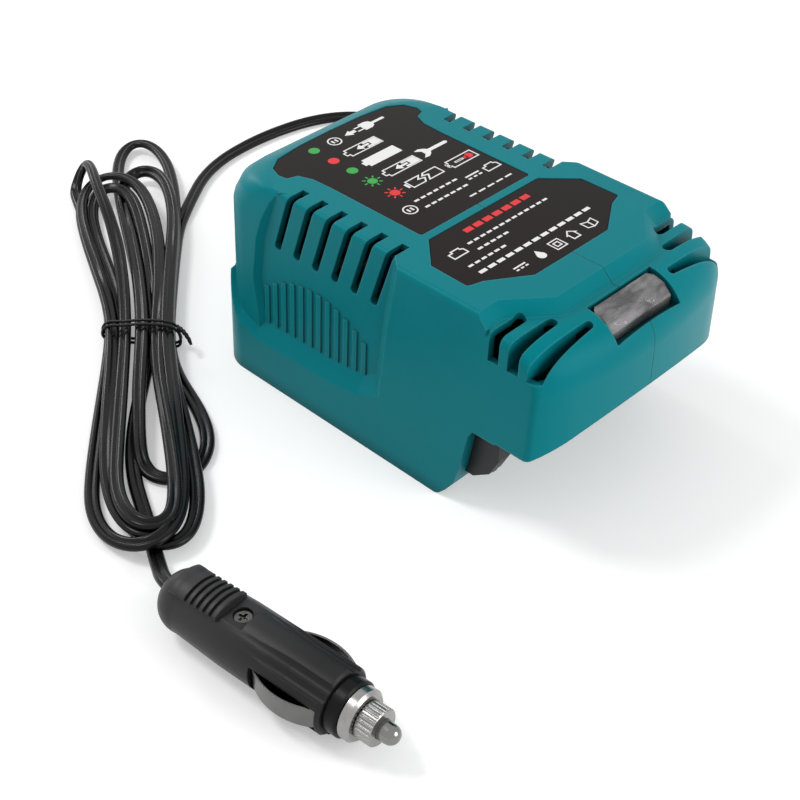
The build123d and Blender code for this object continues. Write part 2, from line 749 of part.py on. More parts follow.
def small_screw(x, y, seat):
    """One board or clamp screw, its head standing on a seat."""
    head = Pos(x, y, seat) * Cylinder(SMALL_HEAD, SMALL_HEAD_HEIGHT, align=BOTTOM_ALIGN)
    slot = Pos(x, y, seat + SMALL_HEAD_HEIGHT) * Box(2.4, 0.6, 1.2)
    shank = Pos(x, y, seat - 6) * Cylinder(SMALL_SHANK, 6, align=BOTTOM_ALIGN)
    return (head - slot) + shank


def board_screws():
    """The screws of both boards."""
    screws = Part()
    for x, y in BOARD_POSTS:
        screws += small_screw(x, y, BOARD_Z + BOARD_THICK)
    for x, y in INDICATOR_POSTS:
        screws += small_screw(x, y, INDICATOR_Z + BOARD_THICK)
    return screws


def transformer():
    """Ferrite core round a wound bobbin."""
    x, y = CORE_AT
    length, width, height = CORE_SIZE
    foot = BOARD_Z + BOARD_THICK
    core = Pos(x, y, foot + height / 2) * Box(length, width - 10, height)
    bobbin = Pos(x, y, foot + height / 2) * Box(length - 10, width, height - 6)
    return core + fillet(bobbin.edges().filter_by(Axis.Z), 2.0)


def input_choke():
    """Wound ring lying on the board."""
    x, y = CHOKE_AT
    ring = Pos(x, y, BOARD_Z + BOARD_THICK + CHOKE_TUBE) * Torus(CHOKE_RING, CHOKE_TUBE)
    foot = block(x - 9, x + 9, y - 3, y + 3, BOARD_Z + BOARD_THICK, BOARD_Z + BOARD_THICK + 1.2)
    return ring + foot


def filter_capacitors():
    """Can capacitors of two sizes."""
    cans = Part()
    for x, y, radius, height in CAPACITORS:
        can = Pos(x, y, BOARD_Z + BOARD_THICK) * Cylinder(radius, height, align=BOTTOM_ALIGN)
        cans += fillet(can.edges().group_by(Axis.Z)[-1], 0.6)
    return cans


def heat_sink():
    """Finned bar along the board's right edge."""
    x, y = SINK_AT
    foot, top = BOARD_Z + BOARD_THICK, BOARD_Z + BOARD_THICK + SINK_HEIGHT
    sink = block(x, x + SINK_BASE, y, y + SINK_LENGTH, foot, top)
    pitch = (SINK_LENGTH - 1.4) / (SINK_FINS - 1)
    for i in range(SINK_FINS):
        sink += block(x, x + SINK_DEPTH, y + i * pitch, y + i * pitch + 1.4, foot, top)
    return sink


def power_transistors():
    """Transistors bolted flat against the heat sink."""
    thick, width, height = TRANSISTOR_SIZE
    x, y = SINK_AT
    pitch = SINK_LENGTH / TRANSISTORS
    cases = Part()
    for i in range(TRANSISTORS):
        middle = y + (i + 0.5) * pitch
        cases += block(
            x - thick,
            x,
            middle - width / 2,
            middle + width / 2,
            BOARD_Z + BOARD_THICK,
            BOARD_Z + BOARD_THICK + height,
        )
    return cases


# ---- terminals ----
def terminal_blades():
    """Blades that reach forward for the battery, each with a leg up to the board."""
    x_size, y_size, _ = TERMINAL_SIZE
    front = TERMINAL_Y - y_size / 2
    blades = Part()
    for x in BLADE_XS:
        x0, x1 = x - BLADE_THICK / 2, x + BLADE_THICK / 2
        top = BLADE_FOOT_Z + BLADE_HEIGHT
        blades += block(x0, x1, front - BLADE_REACH, front + BLADE_ROOT, BLADE_FOOT_Z, top)
        blades += block(x0, x1, front + BLADE_ROOT - 2.4, front + BLADE_ROOT, top, BOARD_Z)
    return blades


def terminal_block(blades):
    """Insulating block that hangs through the dock's ceiling from its flange."""
    x_size, y_size, height = TERMINAL_SIZE
    ceiling = DOCK_Z + WALL
    half_x, half_y = x_size / 2 - TERMINAL_GAP, y_size / 2 - TERMINAL_GAP
    body = Pos(0, TERMINAL_Y, ceiling - height / 2) * Box(2 * half_x, 2 * half_y, height)
    body = chamfer(body.edges().filter_by(Axis.X).group_by(Axis.Z)[0], 1.2)
    flange = block(
        -half_x - FLANGE_EDGE,
        half_x + FLANGE_EDGE,
        TERMINAL_Y - half_y - FLANGE_EDGE,
        TERMINAL_Y + half_y + FLANGE_EDGE,
        ceiling,
        ceiling + FLANGE_THICK,
    )
    return body + flange - blades


# ---- guide shoes ----
def guide_shoe():
    """Right guide shoe: a chamfered nose ahead of the skirt and a ledge along the dock."""
    points = [
        (SHOE_REAR_Y, SHOE_FOOT_Z),
        (-42.5, SHOE_FOOT_Z),
        (-49.0, SHOE_FOOT_Z + 4.5),
        (SHOE_FRONT_Y, SHOE_FOOT_Z + 11.5),
        (SHOE_FRONT_Y, SHOE_TOP_Z),
        (SHOE_REAR_Y, SHOE_TOP_Z),
    ]
    nose = side_prism(points, DOCK_HALF, SHOE_OUT)
    rail = block(
        DOCK_HALF - RAIL_REACH,
        DOCK_HALF,
        -46,
        RAIL_END_Y,
        SHOE_FOOT_Z,
        SHOE_FOOT_Z + RAIL_THICK,
    )
    lead_in = near(rail.edges(), lambda x, y, z: y < -45.9 and x < DOCK_HALF - RAIL_REACH + 0.1)
    return nose + chamfer(lead_in, 3.0)


# ---- cord inside and out ----
def turned(points):
    """Solid of revolution about X from a closed (x, r) outline."""
    return revolve(make_face(Polyline(*points, close=True)), axis=Axis.X)


def cord_boot():
    """Bend relief trapped in the rear wall."""
    inner, outer = REAR_Y - WALL - 0.05, REAR_Y
    tip = outer + BOOT_REACH
    points = [
        (inner - 3, CORD_R),
        (inner - 3, BOOT_FLANGE_R),
        (inner, BOOT_FLANGE_R),
        (inner, BOOT_NECK_R),
        (outer, BOOT_NECK_R),
        (outer, BOOT_R),
        (tip - 0.6, BOOT_TIP_R),
        (tip, BOOT_TIP_R - 0.6),
        (tip, CORD_R),
    ]
    boot = turned(points)
    for i in range(3):
        at = outer + 2 + i * 2.8
        boot -= turned([(at, 3.1), (at, 9), (at + 1.2, 9), (at + 1.2, 3.1)])
    return Pos(0, 0, CORD_EXIT_Z) * Rot(0, 0, 90) * boot


def cord_clamp():
    """Bar that holds the cord down in its saddle."""
    seat = CORD_EXIT_Z + 1
    bar = block(-11, 11, CORD_START_Y + 0.4, CORD_START_Y + 5.6, seat, seat + 4)
    bar -= rod((0, CORD_START_Y, CORD_EXIT_Z), (0, 1, 0), CORD_R, 6)
    for x in (-7.5, 7.5):
        bar -= Pos(x, CORD_START_Y + 3, seat) * Cylinder(SMALL_SHANK + 0.2, 4, align=BOTTOM_ALIGN)
    return bar


def clamp_screws():
    """Two screws through the clamp."""
    seat = CORD_EXIT_Z + 5
    screws = Part()
    for x in (-7.5, 7.5):
        screws += small_screw(x, CORD_START_Y + 3, seat)
    return screws


def supply_wires():
    """Two cores of the cord, from the clamp up to the board."""
    up_y, run_z = CORD_START_Y - 1.4, BOARD_Z + BOARD_THICK + WIRE_R
    wires = Part()
    for x in (-1.1, 1.1):
        wires += rod((x, CORD_START_Y, CORD_EXIT_Z), (0, -1, 0), WIRE_R, 1.4)
        wires += Pos(x, up_y, CORD_EXIT_Z) * Sphere(WIRE_R)
        wires += rod((x, up_y, CORD_EXIT_Z), (0, 0, 1), WIRE_R, run_z - CORD_EXIT_Z)
        wires += Pos(x, up_y, run_z) * Sphere(WIRE_R)
        wires += rod((x, up_y, run_z), (0, -1, 0), WIRE_R, 8)
    return wires


def tube(route):
    """Cord along straight runs joined by arcs; prints the radius of each arc."""
    radii = []
    for before, corner, after in zip(route, route[1:], route[2:]):
        shorter = min(dist(before, corner), dist(corner, after))
        arrive = (Vector(corner) - Vector(before)).normalized()
        leave = (Vector(after) - Vector(corner)).normalized()
        half_turn = radians(arrive.get_angle(leave)) / 2
        radii.append(0.45 * shorter / tan(half_turn))
    print("arc radii", [round(r, 1) for r in radii])
    path = FilletPolyline(*route, radius=radii)
    start = Plane(origin=path @ 0, z_dir=path % 0)
    return sweep(start * Circle(CORD_R), path=path)


def cord_hank():
    """The tied hank as one closed body."""
    outline = make_face(Spline(*HANK_OUTLINE, periodic=True))
    height = HANK_TOP_Z - HANK_FOOT_Z
    return extrude(Pos(0, 0, HANK_FOOT_Z) * outline, amount=height, dir=(0, 0, 1))


def twist_tie():
    """Wire tie round the waist of the hank, with its twisted ends."""
    half, outer = TIE_WIDTH / 2, TIE_HALF + TIE_THICK
    band = block(-half, half, -outer, outer, 0, HANK_TOP_Z + TIE_THICK)
    band -= block(-half, half, -TIE_HALF, TIE_HALF, TIE_THICK, HANK_TOP_Z)
    ends = rod((0, -outer + 0.3, HANK_TOP_Z / 2), (0.3, -1, 0), 1.1, 8)
    return Pos(TIE_AT[0], TIE_AT[1], 0) * Rot(0, 0, TIE_HEADING) * (band + ends)


# ---- plug ----
def plug_place(shape):
    """Puts a piece that was built along X from the cord end into the plug's place."""
    place = Pos(PLUG_END[0], PLUG_END[1], PLUG_REST_Z) * Rot(0, 0, PLUG_HEADING)
    return place * Rot(PLUG_ROLL, 0, 0) * shape


def plug_point(station):
    """Place on the plug's axis at a station."""
    turn = radians(PLUG_HEADING)
    return (PLUG_END[0] + station * cos(turn), PLUG_END[1] + station * sin(turn), PLUG_REST_Z)


def plug_form(grow):
    """The plug body's outside, made fatter by an amount."""
    edges = [
        Line((0, 0), (0, PLUG_MOUTH_R + grow)),
        ThreePointArc(
            (0, PLUG_MOUTH_R + grow),
            (DOME_LENGTH * 0.3, PLUG_REAR_R - 1.7 + grow),
            (DOME_LENGTH, PLUG_REAR_R + grow),
        ),
        Line((DOME_LENGTH, PLUG_REAR_R + grow), (TAPER_END, PLUG_R + grow)),
        Line((TAPER_END, PLUG_R + grow), (BODY_END - 0.8, PLUG_R + grow)),
        Line((BODY_END - 0.8, PLUG_R + grow), (BODY_END, PLUG_R - 0.8 + grow)),
        Line((BODY_END, PLUG_R - 0.8 + grow), (BODY_END, 0)),
        Line((BODY_END, 0), (0, 0)),
    ]
    return revolve(make_face(edges), axis=Axis.X)


def plug_pad():
    """Ribbed thumb pad on the plug's upper side."""
    pad = plug_form(PAD_PROUD) & block(PAD_START, PAD_END, -PAD_HALF, PAD_HALF, 2, 20)
    for i in range(PAD_GROOVES):
        at = PAD_GROOVE_AT + i * PAD_GROOVE_PITCH
        groove = plug_form(PAD_PROUD + 1) - plug_form(PAD_PROUD - 0.8)
        pad -= groove & block(at - 0.6, at + 0.6, -FAR, FAR, 2, 20)
    return pad


def plug_flute():
    """One flute of the plug's front half; it sinks in from the rear and runs out at the front."""
    high, low = PLUG_R + FLUTE_R, PLUG_R + FLUTE_R - 1.1
    run = dist((FLUTE_START, high), (FLUTE_FULL, low))
    entry = rod((FLUTE_START, 0, high), (FLUTE_FULL - FLUTE_START, 0, low - high), FLUTE_R, run)
    bend = Pos(FLUTE_FULL, 0, low) * Sphere(FLUTE_R)
    return entry + bend + rod((FLUTE_FULL, 0, low), (1, 0, 0), FLUTE_R, BODY_END)


def plug_body():
    """Both shells of the plug as one hollow body."""
    bore = PLUG_R - PLUG_WALL
    body = plug_form(0) + plug_pad()
    body -= rod((DOME_LENGTH - 1, 0, 0), (1, 0, 0), bore - 0.8, BODY_END)
    body -= rod((TAPER_END, 0, 0), (1, 0, 0), bore, BODY_END)
    body += rod((PLUG_SCREW_AT, 0, -bore), (0, 0, 1), PLUG_BOSS_R, 2 * bore) & plug_form(-1)
    body -= rod((-1, 0, 0), (1, 0, 0), CORD_R, DOME_LENGTH + 1)
    body -= rod((PLUG_SCREW_AT, 0, PLUG_SCREW_SEAT), (0, 0, 1), PLUG_SCREW_HEAD + 0.3, 20)
    body -= rod((PLUG_SCREW_AT, 0, 0), (0, 0, 1), PLUG_SCREW_SHANK + 0.2, PLUG_SCREW_SEAT)
    body -= rod((PLUG_SCREW_AT, 0, -6), (0, 0, 1), PLUG_SCREW_SHANK, 6)
    gap = CONTACT_WIDTH / 2 + CONTACT_GAP
    for side in (-1, 1):
        y0, y1 = sorted((side * (bore - 1), side * 20))
        body -= block(CONTACT_START - CONTACT_GAP, CONTACT_END + 0.7, y0, y1, -gap, gap)
    body -= block(PAD_END, FLAT_END, -20, 20, FLAT_R, 20)
    flute = plug_flute()
    for angle in FLUTE_ANGLES:
        body -= Rot(angle, 0, 0) * flute
    return body


def plug_shells():
    """The upper and lower shell, parted along the plug's axis."""
    body = plug_body()
    upper = body & block(-5, BODY_END + 5, -20, 20, 0, 20)
    lower = body & block(-5, BODY_END + 5, -20, 20, -20, 0)
    return upper, lower


def plug_screw():
    """Screw that holds both shells together."""
    screw = rod((PLUG_SCREW_AT, 0, -6), (0, 0, 1), PLUG_SCREW_SHANK, PLUG_SCREW_SEAT + 6)
    screw += rod((PLUG_SCREW_AT, 0, PLUG_SCREW_SEAT), (0, 0, 1), PLUG_SCREW_HEAD, 1.8)
    recess = Pos(PLUG_SCREW_AT, 0, PLUG_SCREW_SEAT + 1.8) * (Box(0.8, 3.2, 2) + Box(3.2, 0.8, 2))
    return screw - recess


def plug_nose():
    """Nose between the shells and the metal end, with the fuse's barrel behind it."""
    bore = PLUG_R - PLUG_WALL
    return turned(
        [
            (BARREL_START, 0),
            (BARREL_START, BARREL_R),
            (CONTACT_END + 0.5, BARREL_R),
            (CONTACT_END + 0.7, bore - 0.05),
            (BODY_END, bore - 0.05),
            (BODY_END, NOSE_R),
            (NOSE_END - 0.6, NOSE_R),
            (NOSE_END, NOSE_R - 0.6),
            (NOSE_END, BARREL_BORE),
            (BARREL_START + 2, BARREL_BORE),
            (BARREL_START + 2, 0),
        ]
    )


def contact_ring():
    """Metal collar in front of the nose, with the sleeve that carries the nut."""
    flange_end = NOSE_END + COLLAR_LENGTH
    sleeve_end = flange_end + NUT_LENGTH - NUT_FACE
    return turned(
        [
            (NOSE_END, SLEEVE_BORE),
            (NOSE_END, COLLAR_R - 0.3),
            (NOSE_END + 0.3, COLLAR_R),
            (flange_end - 0.9, COLLAR_R),
            (flange_end, COLLAR_R - 0.9),
            (flange_end, SLEEVE_R),
            (sleeve_end, SLEEVE_R),
            (sleeve_end, SLEEVE_BORE),
        ]
    )


def knurled_nut():
    """Nut that keeps the tip and the fuse in."""
    start = NOSE_END + COLLAR_LENGTH + 0.1
    face = start + NUT_LENGTH - NUT_FACE
    end = start + NUT_LENGTH
    nut = turned(
        [
            (start, SLEEVE_R + SLIDE_GAP),
            (start, NUT_R - 0.4),
            (start + 0.4, NUT_R),
            (end - 0.4, NUT_R),
            (end, NUT_R - 0.4),
            (end, TIP_R + SLIDE_GAP),
            (face, TIP_R + SLIDE_GAP),
            (face, SLEEVE_R + SLIDE_GAP),
        ]
    )
    knurl = rod((start - 1, 0, NUT_R + 0.15), (1, 0, 0), 0.45, NUT_LENGTH + 2)
    return nut - [Rot(i * 360 / NUT_KNURLS, 0, 0) * knurl for i in range(NUT_KNURLS)]


def tip_pin():
    """Spring-loaded centre contact; its shoulder stops against the nut."""
    stop = NOSE_END + COLLAR_LENGTH + 0.1 + NUT_LENGTH - NUT_FACE
    end = stop + NUT_FACE + TIP_REACH
    return turned(
        [
            (stop - TIP_SHOULDER, 0),
            (stop - TIP_SHOULDER, TIP_SHOULDER_R),
            (stop, TIP_SHOULDER_R),
            (stop, TIP_R),
            (end - 2.8, TIP_R),
            (end - 1.8, TIP_R - 0.2),
            (end - 1.0, TIP_R - 0.65),
            (end - 0.4, TIP_R - 1.3),
            (end - 0.1, TIP_R - 2.0),
            (end, TIP_R - 2.6),
            (end, 0),
        ]
    )


def fuse():
    """Glass fuse with its end caps, behind the tip."""
    end = NOSE_END + COLLAR_LENGTH + 0.1 + NUT_LENGTH - NUT_FACE - TIP_SHOULDER
    start = end - FUSE_LENGTH
    glass = FUSE_R - 0.3
    return turned(
        [
            (start, 0),
            (start, FUSE_R),
            (start + FUSE_CAP, FUSE_R),
            (start + FUSE_CAP, glass),
            (end - FUSE_CAP, glass),
            (end - FUSE_CAP, FUSE_R),
            (end, FUSE_R),
            (end, 0),
        ]
    )


def tip_spring():
    """Spring behind the fuse; it leaves room for the tip's travel."""
    end = NOSE_END + COLLAR_LENGTH + 0.1 + NUT_LENGTH - NUT_FACE - TIP_SHOULDER - FUSE_LENGTH
    start = BARREL_START + 2 + TIP_TRAVEL + 0.3
    length = end - start - 2 * SPRING_WIRE
    coil = Helix(pitch=length / SPRING_TURNS, height=length, radius=BARREL_BORE - 0.7)
    ring = Plane(origin=coil @ 0, z_dir=coil % 0) * Circle(SPRING_WIRE)
    spring = sweep(ring, path=coil, is_frenet=True)
    return Pos(start + SPRING_WIRE, 0, 0) * Rot(0, 90, 0) * spring


def side_contact(side):
    """Bowed leaf spring that stands out of one side of the plug."""
    peak = PLUG_R + CONTACT_BOW
    seat = CONTACT_SEAT_R
    middle = (CONTACT_START + CONTACT_END) / 2
    outer = ThreePointArc((CONTACT_START, seat), (middle, peak), (CONTACT_END, seat))
    inner = ThreePointArc(
        (CONTACT_END, seat - CONTACT_THICK),
        (middle, peak - CONTACT_THICK),
        (CONTACT_START, seat - CONTACT_THICK),
    )
    leaf = make_face(
        [
            outer,
            Line(outer @ 1, inner @ 0),
            inner,
            Line(inner @ 1, outer @ 0),
        ]
    )
    width = CONTACT_WIDTH
    strip = extrude(Pos(0, 0, -width / 2) * leaf, amount=width, dir=(0, 0, 1))
    foot_end = CONTACT_START + CONTACT_THICK
    foot = block(CONTACT_START, foot_end, BARREL_R + 0.05, seat, -width / 2, width / 2)
    contact = strip + foot
    return contact if side > 0 else mirror(contact, about=Plane.XZ)


if __name__ == "__main__":
    shell = housing()
    save("housing_left", shell & block(-FAR, 0, -FAR, FAR, -FAR, FAR))
    save("housing_right", shell & block(0, FAR, -FAR, FAR, -FAR, FAR))
    save("housing_screws", housing_screws())
    save("status_panel", label(status_outline, 0, LABEL_THICK + LABEL_SINK, LABEL_SINK))
    save("info_panel", label(info_outline, 0, LABEL_THICK + LABEL_SINK, LABEL_SINK))
    save("indicator_window", indicator_window())

    save("main_board", main_board())
    save("indicator_board", indicator_board())
    save("indicator_leds", indicator_leds())
    save("board_screws", board_screws())
    save("transformer", transformer())
    save("input_choke", input_choke())
    save("filter_capacitors", filter_capacitors())
    save("heat_sink", heat_sink())
    save("power_transistors", power_transistors())
    save("supply_wires", supply_wires())

    contacts = terminal_blades()
    save("terminal_blades", contacts)
    save("terminal_block", terminal_block(contacts))
    save("guide_shoe_right", guide_shoe())
    save("guide_shoe_left", mirror(guide_shoe(), about=Plane.YZ))

    hank = cord_hank()
    plug_route = (plug_point(DOME_LENGTH - 2), plug_point(-9), (-127.6, 7.4, 3.6))
    save("cord_boot", cord_boot())
    save("cord_clamp", cord_clamp())
    save("clamp_screws", clamp_screws())
    save("cord_lead_out", tube(LEAD_OUT) - hank)
    save("cord_lead_plug", tube(plug_route) - hank)
    save("cord_hank", hank)
    save("twist_tie", twist_tie())

    upper, lower = plug_shells()
    save("plug_upper_shell", plug_place(upper))
    save("plug_lower_shell", plug_place(lower))
    save("plug_screw", plug_place(plug_screw()))
    save("plug_nose", plug_place(plug_nose()))
    save("contact_ring", plug_place(contact_ring()))
    save("knurled_nut", plug_place(knurled_nut()))
    save("tip_pin", plug_place(tip_pin()))
    save("fuse", plug_place(fuse()))
    save("tip_spring", plug_place(tip_spring()))
    save("side_contact_left", plug_place(side_contact(-1)))
    save("side_contact_right", plug_place(side_contact(1)))
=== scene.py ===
from math import asin, cos, pi, radians, sin

import bpy
from bpy.props import FloatProperty, FloatVectorProperty, PointerProperty
from mathutils import Matrix, Vector


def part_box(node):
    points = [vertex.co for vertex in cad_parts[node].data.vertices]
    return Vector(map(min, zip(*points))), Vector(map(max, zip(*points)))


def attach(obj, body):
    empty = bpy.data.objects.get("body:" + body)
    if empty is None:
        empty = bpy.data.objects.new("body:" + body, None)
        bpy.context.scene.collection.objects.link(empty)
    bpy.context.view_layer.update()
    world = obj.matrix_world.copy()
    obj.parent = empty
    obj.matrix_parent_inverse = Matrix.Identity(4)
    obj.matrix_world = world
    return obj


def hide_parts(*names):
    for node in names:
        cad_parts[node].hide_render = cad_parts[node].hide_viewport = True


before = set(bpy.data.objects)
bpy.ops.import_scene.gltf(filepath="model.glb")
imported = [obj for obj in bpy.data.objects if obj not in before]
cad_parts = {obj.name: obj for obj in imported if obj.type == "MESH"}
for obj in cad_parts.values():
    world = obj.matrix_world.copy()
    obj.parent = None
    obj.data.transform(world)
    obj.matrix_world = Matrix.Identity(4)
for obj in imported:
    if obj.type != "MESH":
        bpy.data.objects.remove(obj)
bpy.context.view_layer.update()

bl_info = {
    "name": "Vehicle battery charger",
    "version": (1, 0, 0),
    "blender": (4, 5, 0),
    "location": "3D View > Sidebar > Charger",
    "description": "Dresses a compact 12 V tool battery charger, its tied cord and its plug",
    "category": "Object",
}

MM = 0.001
LABEL_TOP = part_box("status_panel")[1].z

# Corners of the cord's route in millimetres: its lead, five turns of the hank, and the plug's end.
CORD_ROUTE = (
    # straight out of the boot, down to the floor and round to the hank
    (0.0, 61.0, 18.0), (0.0, 84.0, 18.0), (0.0, 108.0, 18.0), (17.0, 120.5, 10.2), (34.0, 133.0, 2.3),
    (70.0, 120.0, 2.3), (104.0, 128.0, 2.3), (112.0, 152.0, 2.3), (94.0, 170.0, 2.3),
    (62.0, 176.0, 2.3), (30.0, 172.0, 2.3), (4.0, 154.0, 2.1),
    # down the right side of the hank and back up round its wide loop
    (-8.1, 144.6, 1.8), (-20.3, 131.8, 1.8), (-37.4, 112.9, 1.8), (-54.2, 93.7, 1.8),
    (-63.6, 80.1, 1.8), (-68.6, 69.4, 1.8), (-71.7, 60.0, 1.8), (-74.9, 51.1, 1.8),
    (-79.2, 42.2, 1.8), (-84.7, 35.1, 1.8), (-91.0, 30.7, 1.8), (-96.9, 29.2, 1.8),
    (-101.7, 30.5, 1.8), (-104.9, 33.9, 1.7), (-106.2, 38.3, 1.9), (-105.3, 43.0, 3.0),
    (-101.5, 49.1, 4.3), (-94.2, 58.8, 5.1), (-84.7, 70.8, 5.8), (-74.7, 82.6, 6.6),
    (-65.2, 93.7, 7.1),
    # turn over above the tie
    (-54.0, 108.4, 6.9), (-40.4, 128.4, 6.0), (-27.7, 148.7, 5.0), (-18.7, 163.8, 4.5),
    (-12.1, 174.5, 4.3), (-6.2, 181.6, 4.4), (-0.4, 185.6, 4.7), (5.1, 185.8, 5.4), (7.9, 181.0, 6.4),
    (6.7, 172.1, 7.2), (1.5, 161.1, 7.5), (-6.2, 149.5, 7.4), (-15.8, 137.5, 7.4),
    (-29.6, 122.0, 7.3), (-45.5, 103.9, 7.2), (-58.9, 87.6, 7.2),
    # round below it, furthest to the left
    (-70.0, 72.2, 7.2), (-82.2, 54.5, 7.2), (-94.2, 37.2, 7.2), (-103.8, 23.9, 7.2),
    (-111.6, 15.0, 7.2), (-119.0, 9.6, 7.3), (-125.3, 8.0, 7.2), (-130.1, 10.1, 6.4),
    (-133.0, 15.5, 4.5), (-133.8, 23.3, 2.7), (-131.8, 32.3, 1.9), (-127.1, 41.2, 1.8),
    (-119.5, 50.8, 1.8), (-108.0, 63.9, 1.8), (-94.0, 79.2, 1.8), (-80.6, 93.8, 1.8),
    (-68.4, 108.0, 1.8),
    # up the left side
    (-56.7, 124.9, 1.8), (-46.2, 143.6, 1.8), (-36.2, 162.9, 1.8), (-27.9, 179.6, 2.0),
    (-22.6, 190.6, 2.2),
    # fold back over itself
    (-20.4, 195.1, 2.6), (-17.8, 197.3, 4.6), (-14.7, 198.0, 8.4), (-12.7, 196.3, 12.2),
    (-14.6, 190.3, 14.4),
    # down again beside it
    (-21.4, 177.3, 14.6), (-27.3, 164.3, 13.3), (-32.9, 152.6, 11.1), (-39.6, 140.5, 9.0),
    (-48.0, 127.4, 7.3), (-57.1, 114.5, 5.6), (-67.5, 101.0, 4.6),
    # round below the tie, on top
    (-80.8, 85.0, 4.5), (-95.1, 68.0, 4.7), (-107.2, 53.5, 5.0), (-116.1, 42.5, 5.6),
    (-121.7, 34.0, 6.4), (-125.3, 26.2, 7.3), (-126.6, 19.3, 8.0), (-125.0, 14.3, 8.1),
    (-121.3, 12.0, 8.0), (-116.5, 13.1, 8.2), (-110.7, 18.7, 8.5), (-102.7, 29.6, 8.1),
    (-93.7, 43.1, 7.4), (-84.8, 57.1, 7.1), (-74.7, 72.9, 7.1), (-61.3, 90.5, 7.2),
    # turn over above it, from right to left
    (-44.0, 110.5, 7.2), (-29.2, 129.0, 7.3), (-18.9, 143.7, 7.4), (-11.6, 156.1, 7.6),
    (-6.4, 167.3, 7.8), (-3.9, 176.7, 7.8), (-4.2, 183.3, 7.7), (-6.0, 188.1, 7.2),
    (-9.1, 191.2, 6.4), (-14.2, 191.9, 5.4), (-21.6, 187.8, 4.6), (-30.3, 177.9, 4.3),
    (-39.8, 161.2, 4.4), (-49.7, 140.9, 4.4), (-59.9, 120.8, 4.5), (-70.5, 104.2, 4.6),
    # round below it, between the others
    (-81.8, 89.9, 4.6), (-94.5, 74.7, 4.6), (-107.3, 58.9, 4.6), (-116.8, 46.4, 4.6),
    (-122.6, 36.8, 4.8), (-126.2, 28.8, 5.2), (-128.0, 21.3, 5.6), (-127.4, 15.2, 5.7),
    (-123.9, 12.0, 5.4), (-118.0, 12.7, 4.8), (-110.8, 17.8, 4.2), (-103.1, 26.9, 3.8),
    (-94.2, 39.6, 3.8), (-82.9, 56.1, 4.2), (-71.1, 74.7, 4.5), (-59.7, 93.2, 4.6),
    # turn over above it, underneath
    (-47.1, 111.1, 4.6), (-34.4, 129.1, 4.8), (-24.9, 144.0, 5.4), (-17.8, 156.0, 6.2),
    (-12.6, 165.9, 6.6), (-9.7, 174.7, 6.7), (-10.4, 181.3, 6.5), (-14.2, 184.4, 5.9),
    (-20.1, 182.5, 4.8), (-27.1, 175.4, 3.3), (-35.2, 161.0, 2.0), (-44.9, 140.2, 1.7),
    (-55.3, 120.3, 1.8), (-65.8, 104.1, 1.8),
    # round below it, furthest to the right
    (-79.1, 88.1, 1.8), (-93.3, 71.4, 1.8), (-105.3, 57.2, 1.8), (-114.1, 46.4, 1.8),
    (-120.4, 37.1, 2.0), (-124.6, 27.9, 2.8), (-126.9, 19.3, 3.6), (-127.0, 12.1, 4.2),
    (-124.8, 7.3, 4.4), (-120.6, 5.3, 4.4), (-115.1, 6.6, 4.4), (-108.7, 11.4, 4.6),
    (-101.3, 20.0, 4.8), (-93.8, 31.4, 4.8), (-86.0, 44.3, 4.7), (-77.5, 59.1, 4.6),
    (-68.3, 74.3, 4.6), (-56.1, 91.0, 4.6),
    # wide turn above it
    (-37.6, 112.8, 4.6), (-19.7, 133.0, 4.6), (-6.2, 148.5, 4.6), (2.6, 159.6, 4.6),
    (10.4, 170.6, 4.6), (17.6, 182.7, 4.6), (22.1, 194.4, 4.6), (22.8, 203.7, 4.3),
    (19.2, 208.3, 3.6), (12.4, 206.8, 2.7), (3.2, 198.3, 2.0), (-7.9, 182.4, 1.8),
    (-20.2, 162.0, 1.8), (-33.8, 139.3, 1.8), (-47.6, 116.1, 1.8), (-59.0, 97.9, 1.8),
    # down beside the others and up into the plug
    (-69.4, 85.9, 1.8), (-81.4, 74.4, 1.8), (-94.4, 61.5, 1.8), (-104.7, 49.6, 1.8),
    (-111.7, 39.1, 1.8), (-116.5, 29.7, 1.8), (-120.4, 21.7, 1.8), (-123.6, 15.6, 1.5),
    (-126.4, 10.8, 1.5), (-130.6, 3.4, 3.8), (-138.5, -10.8, 10.5), (-137.6, -21.3, 10.5),
)


# ---- sizes and colours that a user would change ----


def length(name, description, default):
    return FloatProperty(
        name=name, description=description, default=default, min=0.0, unit="LENGTH", precision=5
    )


def colour(name, description, default):
    return FloatVectorProperty(
        name=name, description=description, default=default, min=0.0, max=1.0, subtype="COLOR"
    )


def share(name, description, default):
    return FloatProperty(
        name=name, description=description, default=default, min=0.0, max=1.0, subtype="FACTOR"
    )


def power(name, description, default):
    return FloatProperty(name=name, description=description, default=default, min=0.0, unit="POWER")


class HousingFinish(bpy.types.PropertyGroup):
    body: colour("Housing", "Colour of the moulded housing", (0.001, 0.185, 0.215))
    gleam: colour("Gleam", "Colour of the light that the housing reflects", (0.25, 0.75, 0.8))
    shoe: colour("Shoes", "Colour of the guide shoes and the terminal block", (0.021, 0.022, 0.024))
    film: colour("Labels", "Ground colour of the two label films", (0.0085, 0.0045, 0.0045))
    window: colour("Window", "Tint of the indicator window", (0.72, 0.7, 0.72))
    satin: share("Satin", "Roughness of the housing", 0.36)
    # Soft edge also sets how far the painted edge highlight reaches.
    soft_edge: length("Soft edge", "Radius that the moulded edges catch light on", 0.0007)
    grain: length("Grain", "Size of the spark texture on the housing", 0.00035)


class PrintColours(bpy.types.PropertyGroup):
    white: colour("White ink", "Colour of the pictograms", (0.84, 0.84, 0.84))
    green: colour("Green ink", "Colour of the charged marks", (0.01, 0.36, 0.04))
    red: colour("Red ink", "Colour of the charging and fault marks", (0.75, 0.006, 0.01))
    ink: length("Ink", "Thickness of the printed ink", 0.00003)


